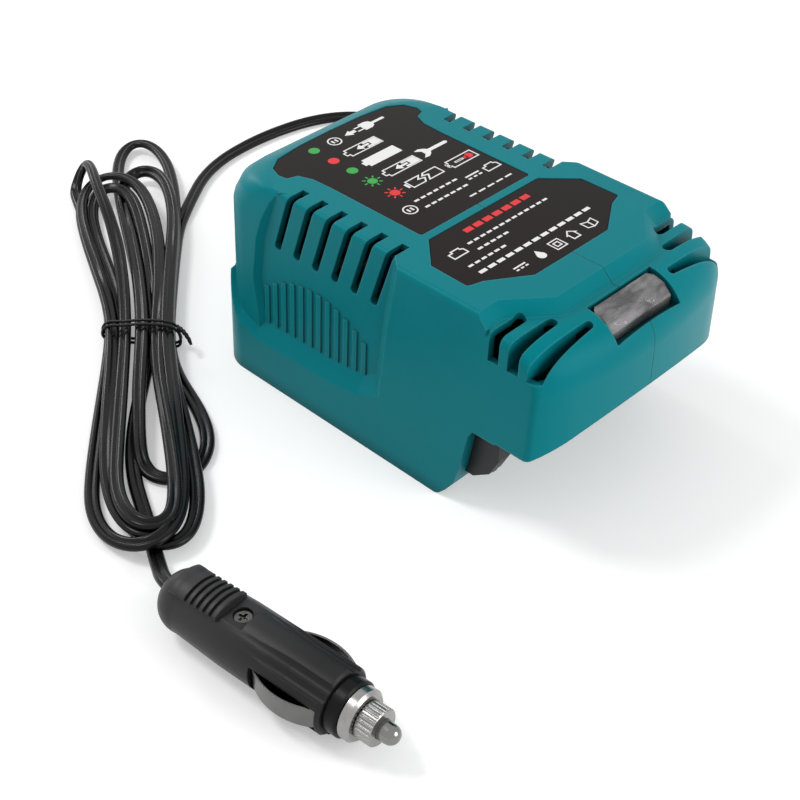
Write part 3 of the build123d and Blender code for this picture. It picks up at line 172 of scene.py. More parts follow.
class CordSizes(bpy.types.PropertyGroup):
    width: length("Width", "Width of the flat twin cord", 0.005)
    thickness: length("Thickness", "Thickness of one of its two strands", 0.00265)
    jacket: colour("Jacket", "Colour of the cord's jacket", (0.0045, 0.0045, 0.005))
    tie: length("Tie", "Thickness of the plastic-covered wire round the hank", 0.00105)


class PlugFinish(bpy.types.PropertyGroup):
    # The grip colour is the shells' tone towards the back of the plug; the shells darken towards the
    # nose.
    body: colour("Grip", "Colour of the plug's shells where they are held", (0.04, 0.04, 0.041))
    front: colour("Front", "Colour of the plug's shells towards the nose", (0.012, 0.012, 0.0122))
    nose: colour("Nose", "Colour of the plug's nose", (0.006, 0.006, 0.006))
    metal: colour("Metal", "Colour of the nickel-plated pieces", (0.36, 0.357, 0.352))
    spring: colour("Spring", "Colour of the spring-steel contacts", (0.17, 0.169, 0.166))


class StageLight(bpy.types.PropertyGroup):
    sky: share("Sky", "Strength of the even light from all round", 0.6)
    key: power("Key", "Power of the high rear lamp", 5.0)
    fill: power("Fill", "Power of the broad front lamp", 7.5)
    edge: power("Edge", "Power of the small low lamp behind", 1.6)


class ChargerSettings(bpy.types.PropertyGroup):
    housing: PointerProperty(type=HousingFinish)
    inks: PointerProperty(type=PrintColours)
    cord: PointerProperty(type=CordSizes)
    plug: PointerProperty(type=PlugFinish)
    light: PointerProperty(type=StageLight)


# ---- shader maths ----


class Wire:
    """One output of a finish's node; Python's operators add Math nodes to it."""

    def __init__(self, finish, socket):
        self.finish = finish
        self.socket = socket

    def maths(self, operation, *values):
        return self.finish.node("ShaderNodeMath", {"operation": operation}, *values)

    def __add__(self, other):
        return self.maths("ADD", self, other)

    def __sub__(self, other):
        return self.maths("SUBTRACT", self, other)

    def __mul__(self, other):
        return self.maths("MULTIPLY", self, other)

    def __pow__(self, other):
        return self.maths("POWER", self, other)

    def __gt__(self, other):
        return self.maths("GREATER_THAN", self, other)

    def __lt__(self, other):
        return self.maths("LESS_THAN", self, other)

    def __rsub__(self, other):
        return self.maths("SUBTRACT", other, self)

    __radd__ = __add__
    __rmul__ = __mul__


class Finish:
    """The nodes of a material, or of the world, under construction."""

    def __init__(self, name, library="materials"):
        self.owner = getattr(bpy.data, library).new(name)
        self.owner.use_nodes = True
        self.tree = self.owner.node_tree
        self.tree.nodes.clear()

    def node(self, kind, settings=None, *values, out=0, **named):
        """Adds a node: its settings first, then values or wires for its sockets."""
        node = self.tree.nodes.new(kind)
        for setting, value in (settings or {}).items():
            setattr(node, setting, value)
        for index, value in enumerate(values):
            self.feed(node.inputs[index], value)
        for key, value in named.items():
            self.feed(node.inputs[key.replace("_", " ")], value)
        return Wire(self, node.outputs[out])

    def feed(self, socket, value):
        if isinstance(value, Wire):
            self.tree.links.new(value.socket, socket)
        elif value is not None:
            socket.default_value = value

    def place(self, scale=(1.0, 1.0, 1.0)):
        """Object coordinates, in metres times scale."""
        at = self.node("ShaderNodeTexCoord", out="Object")
        return self.node("ShaderNodeMapping", None, Vector=at, Scale=scale)

    def noise(self, at, size, detail=2.0, roughness=0.5):
        """Soft noise whose blotches are about that many metres across."""
        return self.node(
            "ShaderNodeTexNoise", None, Vector=at, Scale=1.0 / size, Detail=detail, Roughness=roughness
        )

    def blend(self, mask, low, high):
        """Colour between low and high."""
        mix = self.tree.nodes.new("ShaderNodeMix")
        mix.data_type = "RGBA"
        self.feed(mix.inputs[0], mask)
        self.feed(mix.inputs[6], low if isinstance(low, Wire) else (*low, 1.0))
        self.feed(mix.inputs[7], high if isinstance(high, Wire) else (*high, 1.0))
        return Wire(self, mix.outputs[2])

    def soft_normal(self, radius):
        return self.node("ShaderNodeBevel", {"samples": 4}, radius)

    def openness(self, reach):
        """1 on open surfaces, falling towards 0 in hollows about as deep as reach; the finishes paint
        shade into hollows with it.
        """
        return self.node("ShaderNodeAmbientOcclusion", {"samples": 4}, Distance=reach, out="AO")

    def along(self, axis, start, end, inside=False):
        """From 0 at start to 1 at end along an axis in metres; inside is 1 between the two only."""
        split = self.node("ShaderNodeSeparateXYZ", None, self.place(), out=axis)
        if inside:
            return (split > start) * (split < end)
        return self.node("ShaderNodeMapRange", None, split, start, end, 0.0, 1.0)

    def rays_seen(self):
        """1 for camera, mirror and glass rays, and 0 for the rest."""
        camera = self.node("ShaderNodeLightPath", out="Is Camera Ray")
        glossy = self.node("ShaderNodeLightPath", out="Is Glossy Ray")
        glass = self.node("ShaderNodeLightPath", out="Is Transmission Ray")
        return self.node("ShaderNodeClamp", None, camera + glossy + glass)

    def bump(self, height, strength, distance, normal=None):
        return self.node(
            "ShaderNodeBump", None, Height=height, Strength=strength, Distance=distance, Normal=normal
        )

    def shade(self, base, roughness, metallic=0.0, normal=None, **constants):
        """Closes the material with one Principled shader."""
        shader = self.tree.nodes.new("ShaderNodeBsdfPrincipled")
        self.feed(shader.inputs["Base Color"], base if isinstance(base, Wire) else (*base, 1.0))
        self.feed(shader.inputs["Roughness"], roughness)
        self.feed(shader.inputs["Metallic"], metallic)
        self.feed(shader.inputs["Normal"], normal)
        for key, value in constants.items():
            self.feed(shader.inputs[key.replace("_", " ")], value)
        return self.close(Wire(self, shader.outputs[0]))

    def close(self, shader, output="ShaderNodeOutputMaterial"):
        """Leads the finished shader to the output."""
        self.feed(self.tree.nodes.new(output).inputs["Surface"], shader)
        return self.owner


# ---- finishes ----


def darker(tone, amount):
    return tuple(channel * amount for channel in tone)


def moulded_plastic(
    name,
    tone,
    satin,
    edge,
    grain=0.0004,
    rise=0.00002,
    highlight_lift=0.0,
    gloss=0.2,
    tint=(1.0, 1.0, 1.0),
    seam=0.0,
):
    """Injection-moulded plastic: spark grain, faint clouds, a painted highlight along its edges and
    painted shade in its hollows.

    Its grain stands up by rise, and a seam of that half width may run along its middle.
    """
    finish = Finish(name)
    at = finish.place()
    clouds = finish.noise(at, 0.03, 3.0)
    speck = finish.noise(at, grain, 2.0)
    rounded = finish.soft_normal(edge)
    sharp = finish.node("ShaderNodeNewGeometry", out="Normal")
    facing = finish.node("ShaderNodeVectorMath", {"operation": "DOT_PRODUCT"}, rounded, sharp, out=1)
    # Painted highlight: the tone is lightened along every edge, where the bevelled normal parts from
    # the true one.
    painted_edge_highlight = (1.0 - facing) * 6.0
    painted_edge_highlight = finish.node("ShaderNodeClamp", None, painted_edge_highlight)
    base = finish.blend(clouds, darker(tone, 0.93), darker(tone, 1.07))
    highlight_tone = tuple(min(1.0, channel * 1.25 + highlight_lift) for channel in tone)
    if seam:
        on_seam = finish.along("X", -seam, seam, inside=True)
        painted_edge_highlight = painted_edge_highlight * (1.0 - on_seam)
        base = finish.blend(on_seam * 0.6, base, darker(tone, 0.3))
    base = finish.blend(painted_edge_highlight * 0.8, base, highlight_tone)
    # Painted shade: the tone darkens in hollows, by ambient occlusion.
    base = finish.blend(finish.openness(0.006) ** 1.6, darker(tone, 0.3), base)
    rough = speck * 0.12 + clouds * 0.06 + (satin - 0.09)
    normal = finish.bump(speck, 0.25, rise, rounded)
    return finish.shade(
        base, rough, normal=normal, Specular_IOR_Level=gloss, Specular_Tint=(*tint, 1.0)
    )


def graded_shell(name, tone, front_tone, front, back_end):
    """Soft-touch plastic whose tone goes from front_tone at y=front to tone further back, darker
    towards the nose; painted shade darkens its hollows.
    """
    finish = Finish(name)
    at = finish.place()
    speck = finish.noise(at, 0.0006, 2.0)
    clouds = finish.noise(at, 0.015, 3.0)
    back_share = finish.along("Y", front, back_end)
    base = finish.blend(back_share, front_tone, tone)
    base = finish.blend(clouds * 0.4, base, darker(tone, 0.7))
    # Painted shade: the tone darkens in hollows, by ambient occlusion.
    base = finish.blend(finish.openness(0.003) ** 1.5, darker(tone, 0.12), base)
    normal = finish.bump(speck, 0.3, 0.00003, finish.soft_normal(0.0005))
    return finish.shade(base, speck * 0.15 + 0.33, normal=normal, Specular_IOR_Level=0.16)


def label_film(name, tone):
    """Glossy printed film with the slightest waviness and dust."""
    finish = Finish(name)
    at = finish.place()
    waves = finish.noise(at, 0.02, 2.0)
    dust = finish.noise(at, 0.0012, 3.0)
    base = finish.blend(waves, darker(tone, 0.85), darker(tone, 1.2))
    rough = waves * 0.06 + dust * 0.08 + 0.1
    normal = finish.bump(waves, 0.1, 0.0001)
    return finish.shade(base, rough, normal=normal, Specular_IOR_Level=0.1)


def printed_ink(name, tone):
    """Screen-printed ink: nearly even, a little dry at its finest grain."""
    finish = Finish(name)
    at = finish.place()
    grain = finish.noise(at, 0.0006, 2.0)
    base = finish.blend(grain, darker(tone, 0.86), tone)
    return finish.shade(base, grain * 0.2 + 0.3)


def frosted_window(name, tint):
    """Clear plastic window with the streaks and flow marks of its moulding."""
    finish = Finish(name)
    flow = finish.noise(finish.place((0.45, 1.0, 1.0)), 0.0055, 2.0, 0.6)
    frost = finish.noise(finish.place(), 0.0012, 3.0)
    streak = finish.node("ShaderNodeMapRange", None, flow, 0.4, 0.62, 0.0, 1.0)
    base = finish.blend(streak, darker(tint, 0.3), tint)
    # Painted shade: the tint darkens in hollows, by ambient occlusion.
    base = finish.blend(finish.openness(0.004) ** 2.0, darker(tint, 0.2), base)
    normal = finish.bump(flow + frost * 0.1, 0.9, 0.0012, finish.soft_normal(0.0008))
    rough = frost * 0.12 + 0.08
    return finish.shade(
        base, rough, normal=normal, Transmission_Weight=0.72, IOR=1.49, Specular_IOR_Level=0.7
    )


def plated_metal(name, tone, rough):
    """Nickel plate: fine marks, tarnish and soft edges."""
    finish = Finish(name)
    at = finish.place()
    lines = finish.noise(at, 0.0005, 3.0)
    stain = finish.noise(at, 0.004, 3.0)
    base = finish.blend(stain, darker(tone, 0.72), tone)
    normal = finish.bump(lines, 0.18, 0.00004, finish.soft_normal(0.00025))
    return finish.shade(base, lines * 0.14 + stain * 0.1 + (rough - 0.1), 1.0, normal)


def inner_finish(name, tone, rough=0.5, size=0.001, contrast=0.25):
    """Finish of a piece inside the housing: mottled tone and an uneven surface."""
    finish = Finish(name)
    at = finish.place()
    mottle = finish.noise(at, size, 3.0)
    base = finish.blend(mottle, darker(tone, 1.0 - contrast), darker(tone, 1.0 + contrast))
    normal = finish.bump(mottle, 0.2, size * 0.08, finish.soft_normal(0.0003))
    return finish.shade(base, mottle * 0.2 + (rough - 0.1), normal=normal)


def board_finish(name):
    """Green solder mask over copper tracks, with tinned pads."""
    finish = Finish(name)
    at = finish.place()
    tracks = finish.node(
        "ShaderNodeTexBrick", {"offset": 0.5}, Vector=at, Scale=220.0, Mortar_Size=0.03, out=1
    )
    pads = finish.node("ShaderNodeTexVoronoi", None, Vector=at, Scale=260.0, Randomness=0.3)
    tinned = pads < 0.22
    mask = finish.blend(tracks, (0.008, 0.1, 0.03), (0.02, 0.2, 0.06))
    base = finish.blend(tinned, mask, (0.55, 0.56, 0.55))
    normal = finish.bump(tracks + tinned, 0.4, 0.00005)
    return finish.shade(base, 0.42 - tinned * 0.15, tinned, normal)


def wound_finish(name, tone, pitch, rough):
    """Enamelled winding or tape, laid in turns; a wave texture's own bands are 0.31 apart."""
    finish = Finish(name)
    at = finish.place()
    turns = finish.node(
        "ShaderNodeTexWave", {"wave_type": "BANDS"}, Vector=at, Scale=0.31 / pitch, Distortion=0.4
    )
    base = finish.blend(turns, darker(tone, 0.4), tone)
    normal = finish.bump(turns, 0.6, pitch * 0.4)
    return finish.shade(base, turns * 0.1 + rough, normal=normal)


def cord_jacket(name, tone):
    """Soft black jacket with drawn streaks along the cord and a faint bloom."""
    finish = Finish(name)
    along = finish.node("ShaderNodeUVMap", {"uv_map": "along"})
    drawn = finish.node("ShaderNodeMapping", None, Vector=along, Scale=(12.0, 900.0, 1.0))
    streaks = finish.noise(drawn, 1.0, 3.0)
    bloom = finish.noise(finish.place(), 0.012, 3.0)
    base = finish.blend(bloom, darker(tone, 0.6), darker(tone, 1.8))
    # Painted shade: the jacket darkens in hollows and between the turns, by ambient occlusion.
    base = finish.blend(finish.openness(0.004), darker(tone, 0.2), base)
    rough = streaks * 0.14 + bloom * 0.1 + 0.14
    normal = finish.bump(streaks, 0.16, 0.00005)
    return finish.shade(base, rough, normal=normal, Specular_IOR_Level=0.17)


# ---- pieces ----


WELD_DISTANCE = 2e-6
SHARP_ANGLE = radians(28)


def smoothing():
    """Modifier group that joins a CAD node's loose triangles and smooths all but its sharp edges."""
    name = "charger smoothing"
    if name in bpy.data.node_groups:
        return bpy.data.node_groups[name]
    group = bpy.data.node_groups.new(name, "GeometryNodeTree")
    group.interface.new_socket("Geometry", in_out="INPUT", socket_type="NodeSocketGeometry")
    group.interface.new_socket("Geometry", in_out="OUTPUT", socket_type="NodeSocketGeometry")
    entry = group.nodes.new("NodeGroupInput")
    leave = group.nodes.new("NodeGroupOutput")
    merge = group.nodes.new("GeometryNodeMergeByDistance")
    merge.inputs["Distance"].default_value = WELD_DISTANCE
    faces = group.nodes.new("GeometryNodeSetShadeSmooth")
    edges = group.nodes.new("GeometryNodeSetShadeSmooth")
    edges.domain = "EDGE"
    edges.inputs["Shade Smooth"].default_value = False
    angle = group.nodes.new("GeometryNodeInputMeshEdgeAngle")
    steep = group.nodes.new("FunctionNodeCompare")
    steep.operation = "GREATER_THAN"
    steep.inputs[1].default_value = SHARP_ANGLE
    group.links.new(entry.outputs[0], merge.inputs["Geometry"])
    group.links.new(merge.outputs[0], faces.inputs["Geometry"])
    group.links.new(faces.outputs[0], edges.inputs["Geometry"])
    group.links.new(angle.outputs["Unsigned Angle"], steep.inputs[0])
    group.links.new(steep.outputs[0], edges.inputs["Selection"])
    group.links.new(edges.outputs[0], leave.inputs[0])
    return group


def dress(material, *nodes):
    """Gives CAD nodes a finish and smooth shading; their shapes stay."""
    for node in nodes:
        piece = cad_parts[node]
        for index in range(len(piece.data.materials)):
            piece.data.materials[index] = material
        if not piece.data.materials:
            piece.data.materials.append(material)
        smooth = piece.modifiers.new("smooth", "NODES")
        smooth.node_group = smoothing()
        level = piece.modifiers.new("even", "WEIGHTED_NORMAL")
        level.keep_sharp = True


def add_piece(name, mesh, material):
    """A new object at the origin from a mesh that is already in place."""
    mesh.materials.append(material)
    piece = bpy.data.objects.new(name, mesh)
    bpy.context.scene.collection.objects.link(piece)
    return piece


def mesh_from_curve(name, curve):
    """The evaluated mesh of a curve, which is then removed."""
    holder = bpy.data.objects.new(name, curve)
    bpy.context.scene.collection.objects.link(holder)
    bpy.context.view_layer.update()
    depsgraph = bpy.context.evaluated_depsgraph_get()
    mesh = bpy.data.meshes.new_from_object(holder.evaluated_get(depsgraph))
    bpy.data.objects.remove(holder)
    bpy.data.curves.remove(curve)
    mesh.name = name
    return mesh


def nurbs(name, points, resolution):
    """Open NURBS curve through the corners of a route."""
    curve = bpy.data.curves.new(name, "CURVE")
    curve.dimensions = "3D"
    curve.resolution_u = resolution
    spline = curve.splines.new("NURBS")
    spline.points.add(len(points) - 1)
    for control, point in zip(spline.points, points):
        control.co = (*point, 1.0)
    spline.order_u = 3
    spline.use_endpoint_u = True
    return curve


# ---- marks on the labels, in millimetres: each shape is an outline, then any holes in it ----


def disc(x, y, radius, steps=28):
    return [
        (x + radius * cos(2 * pi * i / steps), y + radius * sin(2 * pi * i / steps))
        for i in range(steps)
    ]


def bar(x0, y0, x1, y1):
    return [(x0, y0), (x1, y0), (x1, y1), (x0, y1)]


def at(x, y, outline):
    return [(x + a, y + b) for a, b in outline]


def framed(x, y, outer, inner):
    """A shape drawn as a line: an outline with its hole."""
    return [at(x, y, outer), at(x, y, inner)]


def stroke(ax, ay, bx, by, width):
    """A straight stroke between two points."""
    run = Vector((bx - ax, by - ay))
    side = run.orthogonal().normalized() * width / 2
    corners = ((ax, ay, -1), (bx, by, -1), (bx, by, 1), (ax, ay, 1))
    return [(x + side.x * sign, y + side.y * sign) for x, y, sign in corners]


def lamp(x, y, flashing=False):
    """A round lamp; a flashing one has rays."""
    shapes = [[disc(x, y, 1.75 if flashing else 1.95)]]
    for i in range(8 if flashing else 0):
        a, b = cos(pi * i / 4), sin(pi * i / 4)
        shapes.append([stroke(x + 2.15 * a, y + 2.15 * b, x + 3.35 * a, y + 3.35 * b, 0.55)])
    return shapes


def cell(long, high, grow=0.0):
    """Outline of a battery with its terminal on the left."""
    x, y = long / 2 + grow, high / 2 + grow
    nub = high * 0.24 + grow
    end = -x - 1.2
    return [(-x, -y), (x, -y), (x, y), (-x, y), (-x, nub), (end, nub), (end, -nub), (-x, -nub)]


def open_cell(x, y, long=14.4, high=4.9, line=0.5):
    return [framed(x, y, cell(long, high), cell(long, high, -line))]


def charging_cell(x, y):
    """Battery that is half full, with an arrow into its empty half."""
    filled = [
        (0.9, -2.1), (6.8, -2.1), (6.8, 2.1), (0.9, 2.1), (0.9, 1.0),
        (3.2, 1.0), (3.2, -0.9), (0.9, -0.9),
    ]
    arrow = [
        (-2.9, 0.05), (-0.5, 1.8), (-0.5, 0.55), (2.6, 0.55),
        (2.6, -0.45), (-0.5, -0.45), (-0.5, -1.7),
    ]
    return [*open_cell(x, y), [at(x, y, filled)], [at(x, y, arrow)]]


def broken_cell(x, y):
    """Battery that is split by a crack."""
    left = [(-7.2, 2.4), (-0.2, 2.4), (-2.0, 0.6), (0.3, -0.1), (-1.4, -2.4), (-7.2, -2.4)]
    left_hole = [(-6.7, 1.9), (-1.4, 1.9), (-3.1, 0.3), (-0.6, -0.4), (-1.7, -1.9), (-6.7, -1.9)]
    right = [(7.2, 2.4), (1.0, 2.4), (-0.7, 0.9), (1.6, 0.2), (-0.2, -2.4), (7.2, -2.4)]
    right_hole = [(6.7, 1.9), (1.3, 1.9), (0.6, 1.2), (2.6, 0.5), (0.8, -1.9), (6.7, -1.9)]
    terminal = bar(-8.5, -1.3, -7.5, 1.3)
    return [framed(x, y, left, left_hole), framed(x, y, right, right_hole), [at(x, y, terminal)]]


def wrench(x, y):
    """Open-ended wrench that points to the left."""
    outline = [
        (-5.6, 2.6), (-3.6, 2.9), (-2.0, 2.0), (-1.0, 0.8), (6.7, 0.8), (7.4, 0.3), (7.4, -0.3),
        (6.7, -0.8), (-1.0, -0.8), (-2.0, -2.0), (-3.6, -2.9), (-5.6, -2.6), (-3.7, -1.0), (-3.7, 1.0),
    ]
    return [[at(x, y, outline)]]


def supply_plug(x, y):
    """Plug with its cord on the right, and an arrow to the left."""
    arrow = [
        (-9.6, 0.0), (-6.7, 1.7), (-6.7, 0.8), (-4.7, 0.8),
        (-4.7, -0.8), (-6.7, -0.8), (-6.7, -1.7),
    ]
    body = [
        (-1.6, -2.3), (1.4, -2.3), (2.8, -1.6), (3.3, -0.6), (8.7, -0.6), (8.7, 0.6), (3.3, 0.6),
        (2.8, 1.6), (1.4, 2.3), (-1.6, 2.3), (-1.6, 1.4), (-4.3, 1.4), (-4.3, 0.8), (-1.6, 0.8),
        (-1.6, -0.8), (-4.3, -0.8), (-4.3, -1.4), (-1.6, -1.4),
    ]
    return [[at(x, y, arrow)], [at(x, y, body)]]


def supply_socket(x, y):
    pins = [[bar(x + side - 0.35, y - 0.9, x + side + 0.35, y + 0.9)] for side in (-0.75, 0.75)]
    return [[disc(x, y, 2.6), disc(x, y, 2.1)], *pins]


def hot_cell(x, y):
    """Battery with a thermometer's glass in it; its red filling is printed apart."""
    glass = [(-3.4, 0.5), (0.6, 0.5), (0.6, -0.5), (-3.4, -0.5)]
    hole = [(-3.0, 0.2), (0.2, 0.2), (0.2, -0.2), (-3.0, -0.2)]
    terminal = bar(-6.9, -1.4, -6.0, 1.4)
    return [*open_cell(x, y, 12.0), framed(x, y, glass, hole), [at(x, y, terminal)]]


def hot_filling(x, y):
    stem = [(0.9, 0.55), (2.4, 0.75), (2.4, -0.75), (0.9, -0.55)]
    return [[at(x, y, stem)], [disc(x + 3.3, y, 1.45)]]


def direct_current(x, y, scale=1.0):
    """A line over three dashes."""
    line = bar(x - 2.6 * scale, y + 0.4 * scale, x + 2.6 * scale, y + 1.0 * scale)
    dashes = []
    for i in range(3):
        start = x + (i * 2.0 - 2.6) * scale
        dashes.append([bar(start, y - 0.9 * scale, start + 1.2 * scale, y - 0.3 * scale)])
    return [[line], *dashes]


def square(x, y, half):
    return bar(x - half, y - half, x + half, y + half)


def double_square(x, y):
    return [[square(x, y, outer), square(x, y, inner)] for outer, inner in ((2.4, 1.95), (1.2, 0.75))]


def house(x, y):
    outer = [(-1.7, -2.3), (1.7, -2.3), (1.7, 0.2), (2.6, 0.2), (0, 2.6), (-2.6, 0.2), (-1.7, 0.2)]
    inner = [(-1.2, -1.8), (1.2, -1.8), (1.2, 0.7), (1.4, 0.7), (0, 1.95), (-1.4, 0.7), (-1.2, 0.7)]
    return [framed(x, y, outer, inner)]


def open_book(x, y):
    outer = [(0, 1.2), (2.6, 2.1), (2.6, -1.5), (0, -2.3), (-2.6, -1.5), (-2.6, 2.1)]
    page = [(0.25, 0.8), (2.15, 1.5), (2.15, -1.2), (0.25, -1.8)]
    return [[at(x, y, outer), at(x, y, page), [(x - a, y + b) for a, b in page]]]


def water_drop(x, y):
    round_part = [(1.6 * cos(radians(a)), 1.6 * sin(radians(a)) - 0.6) for a in range(30, -211, -20)]
    return [[at(x, y, [(0, 2.5), *round_part])]]


def slide_on_battery(x, y):
    """Side view of the battery that the charger takes."""
    outline = [
        (-3.2, -2.0), (3.2, -2.0), (3.2, 0.6), (2.2, 1.2), (2.2, 2.0),
        (-1.6, 2.0), (-1.6, 1.2), (-3.2, 1.2),
    ]
    hole = [
        (-2.7, -1.5), (2.7, -1.5), (2.7, 0.3), (1.7, 0.8), (1.7, 1.5),
        (-1.1, 1.5), (-1.1, 0.7), (-2.7, 0.7),
    ]
    return [framed(x, y, outline, hole)]


def dotted_rule(x0, x1, y, dash=2.0, gap=0.9, high=0.9):
    """A broken rule where a line of lettering would stand."""
    step = dash + gap
    starts = [x0 + i * step for i in range(int((x1 - x0 + gap) / step))]
    return [[bar(start, y - high / 2, start + dash, y + high / 2)] for start in starts]


LAMP_X = -13.0
PICTURE_X = 0.6
ROWS = (57.3, 47.9, 39.1, 29.8, 19.6)

WHITE_MARKS = [
    *supply_socket(-3.9, 57.0),
    *supply_plug(10.7, ROWS[0]),
    *charging_cell(PICTURE_X, ROWS[1]),
    [at(PICTURE_X, ROWS[2], cell(14.4, 4.9))],
    *charging_cell(PICTURE_X, ROWS[3]),
    *wrench(15.2, 30.6),
    *broken_cell(PICTURE_X, ROWS[4]),
    *hot_cell(17.6, 18.9),
    *supply_socket(-16.9, 9.0),
    *dotted_rule(-12.5, 7.4, 11.4),
    *dotted_rule(-12.5, 7.4, 6.6),
    *direct_current(12.6, 9.0, 1.2),
    *slide_on_battery(20.8, 9.0),
    *dotted_rule(2.0, 24.0, 1.0, 3.0, 1.2, 0.7),
    *slide_on_battery(-24.5, -18.2),
    *dotted_rule(-18.6, 19.0, -17.0),
    *dotted_rule(-18.6, -4.0, -21.2),
    *dotted_rule(-27.6, -9.0, -25.6),
    *dotted_rule(-27.6, 26.0, -30.0, 3.0, 1.0, 1.4),
    *direct_current(-16.6, -36.6),
    *water_drop(-7.6, -36.4),
    *double_square(0.4, -36.4),
    *house(7.8, -36.2),
    *open_book(16.4, -36.0),
]
GREEN_MARKS = [*lamp(LAMP_X, ROWS[0]), *lamp(LAMP_X, ROWS[2]), *lamp(LAMP_X, ROWS[3], flashing=True)]
RED_MARKS = [
    *lamp(LAMP_X, ROWS[1]),
    *lamp(LAMP_X, ROWS[4], flashing=True),
    *hot_filling(17.6, 18.9),
    *dotted_rule(-14.2, 16.0, -11.6, 3.4, 1.0, 2.2),
]


def print_marks(name, shapes, material, ink):
    """Marks as one thin layer of ink on the labels."""
    vertices, faces = [], []
    for shape in shapes:
        curve = bpy.data.curves.new(name, "CURVE")
        curve.dimensions = "2D"
        curve.fill_mode = "BOTH"
        curve.extrude = ink / 2
        for outline in shape:
            spline = curve.splines.new("POLY")
            spline.points.add(len(outline) - 1)
            spline.use_cyclic_u = True
            for control, (x, y) in zip(spline.points, outline):
                control.co = (x * MM, y * MM, 0.0, 1.0)
        mark = mesh_from_curve(name, curve)
        faces += [[corner + len(vertices) for corner in polygon.vertices] for polygon in mark.polygons]
        vertices += [vertex.co + Vector((0.0, 0.0, LABEL_TOP + ink / 2)) for vertex in mark.vertices]
        bpy.data.meshes.remove(mark)
    mesh = bpy.data.meshes.new(name)
    mesh.from_pydata(vertices, [], faces)
    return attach(add_piece(name, mesh, material), "charger")


# ---- cord ----
STRAND_REACH = radians(150)  # how far each strand's outline goes round, to either side
LEAN_ROOM = 0.0024  # from the cord's middle to its lower edge when it stands on that edge
MOST_LEAN = asin(0.64)
LEAN_WAVES = ((0.6, 21.0, 0.0), (0.4, 47.0, 1.0))  # share, pace along the cord, and start
LEVELLING = 0.4  # how quickly the flat side turns up again after a steep stretch
SECTION_GIRTH = 0.012  # round the outline of both strands


def twin_section(width, thickness, steps=9):
    """Outline of two strands side by side, as (across, up)."""
    radius = thickness / 2
    centre = width / 2 - radius
    outline = []
    for side in (1, -1):
        for i in range(steps):
            angle = STRAND_REACH * (2 * i / (steps - 1) - 1)
            outline.append((side * (centre + radius * cos(angle)), side * radius * sin(angle)))
    return outline


def lean_of_cord(station, height, thickness):
    """How far the flat cord leans on its edge there; near the floor it lies flat."""
    room = max(0.0, (height - thickness / 2 - 0.0001) / LEAN_ROOM)
    most = min(MOST_LEAN, asin(min(1.0, room)))
    return most * sum(part * sin(station * pace + start) for part, pace, start in LEAN_WAVES)


def sweep(name, line, width, thickness):
    """The twin cord along a line, flat side up but untwisted where steep, with a UV map."""
    outline = twin_section(width, thickness)
    rings = []
    station = 0.0
    across = (line[1] - line[0]).cross(Vector((0, 0, 1)))
    for i, point in enumerate(line):
        before = line[max(i - 1, 0)]
        after = line[min(i + 1, len(line) - 1)]
        station += (point - before).length
        ahead = (after - before).normalized()
        level = ahead.cross(Vector((0, 0, 1)))
        if level.dot(across) < 0:
            level.negate()
        across = (across - ahead * across.dot(ahead)).normalized()
        across = across.lerp(level.normalized(), LEVELLING * level.length**4).normalized()
        leaning = Matrix.Rotation(lean_of_cord(station, point.z, thickness), 3, ahead) @ across
        up = leaning.cross(ahead)
        rings.append((station, [point + leaning * a + up * b for a, b in outline]))
    count = len(outline)
    vertices = [vertex for _, ring in rings for vertex in ring]
    faces = []
    for start in range(0, (len(rings) - 1) * count, count):
        for j in range(count):
            beside = (j + 1) % count
            faces.append((start + j, start + beside, start + count + beside, start + count + j))
    faces.append(tuple(reversed(range(count))))
    faces.append(tuple(range((len(rings) - 1) * count, len(rings) * count)))
    mesh = bpy.data.meshes.new(name)
    mesh.from_pydata(vertices, [], faces)
    uv = mesh.uv_layers.new(name="along")
    for polygon in mesh.polygons:
        for loop in polygon.loop_indices:
            ring, place = divmod(mesh.loops[loop].vertex_index, count)
            uv.data[loop].uv = (rings[ring][0], place / count * SECTION_GIRTH)
    mesh.shade_smooth()
    return mesh


# ---- tie: one wire, twice round the hank, with its ends twisted together ----
TIE_AT = Vector((-0.0627, 0.0975, 0.0))
TIE_ACROSS = Vector((cos(radians(-41)), sin(radians(-41)), 0.0))
TIE_ALONG = Vector((-TIE_ACROSS.y, TIE_ACROSS.x, 0.0))
TURN_GAP = 0.0012  # from the middle between its two turns to either
TIE_SKEW = 0.25
# Corners of one turn as (across, height), over the hank from its right edge to its left, and back.
HANK_EDGE = (
    (0.0130, 0.0078), (0.0108, 0.0098), (0.0010, 0.0096), (-0.0060, 0.0078), (-0.0120, 0.0072),
    (-0.0146, 0.0040), (-0.0136, 0.0004), (-0.0060, 0.0006), (0.0060, 0.0006), (0.0130, 0.0004),
    (0.0142, 0.0040),
)
TIE_END = ((0.0130, 0.0086), (0.0160, 0.0090), (0.0178, 0.0052))  # where the twisted ends lie
TWIST_RADIUS = 0.00062
TWIST_STEPS = 18
TWIST_DRIFT = 0.0045  # how far the twisted ends lead towards the plug
TWISTS = 2.5


def on_tie(across, along, height):
    """A place round the hank; the tie lies askew, so its right side is nearer the plug."""
    level = TIE_AT + TIE_ACROSS * across + TIE_ALONG * (along - TIE_SKEW * across)
    return Vector((level.x, level.y, height))


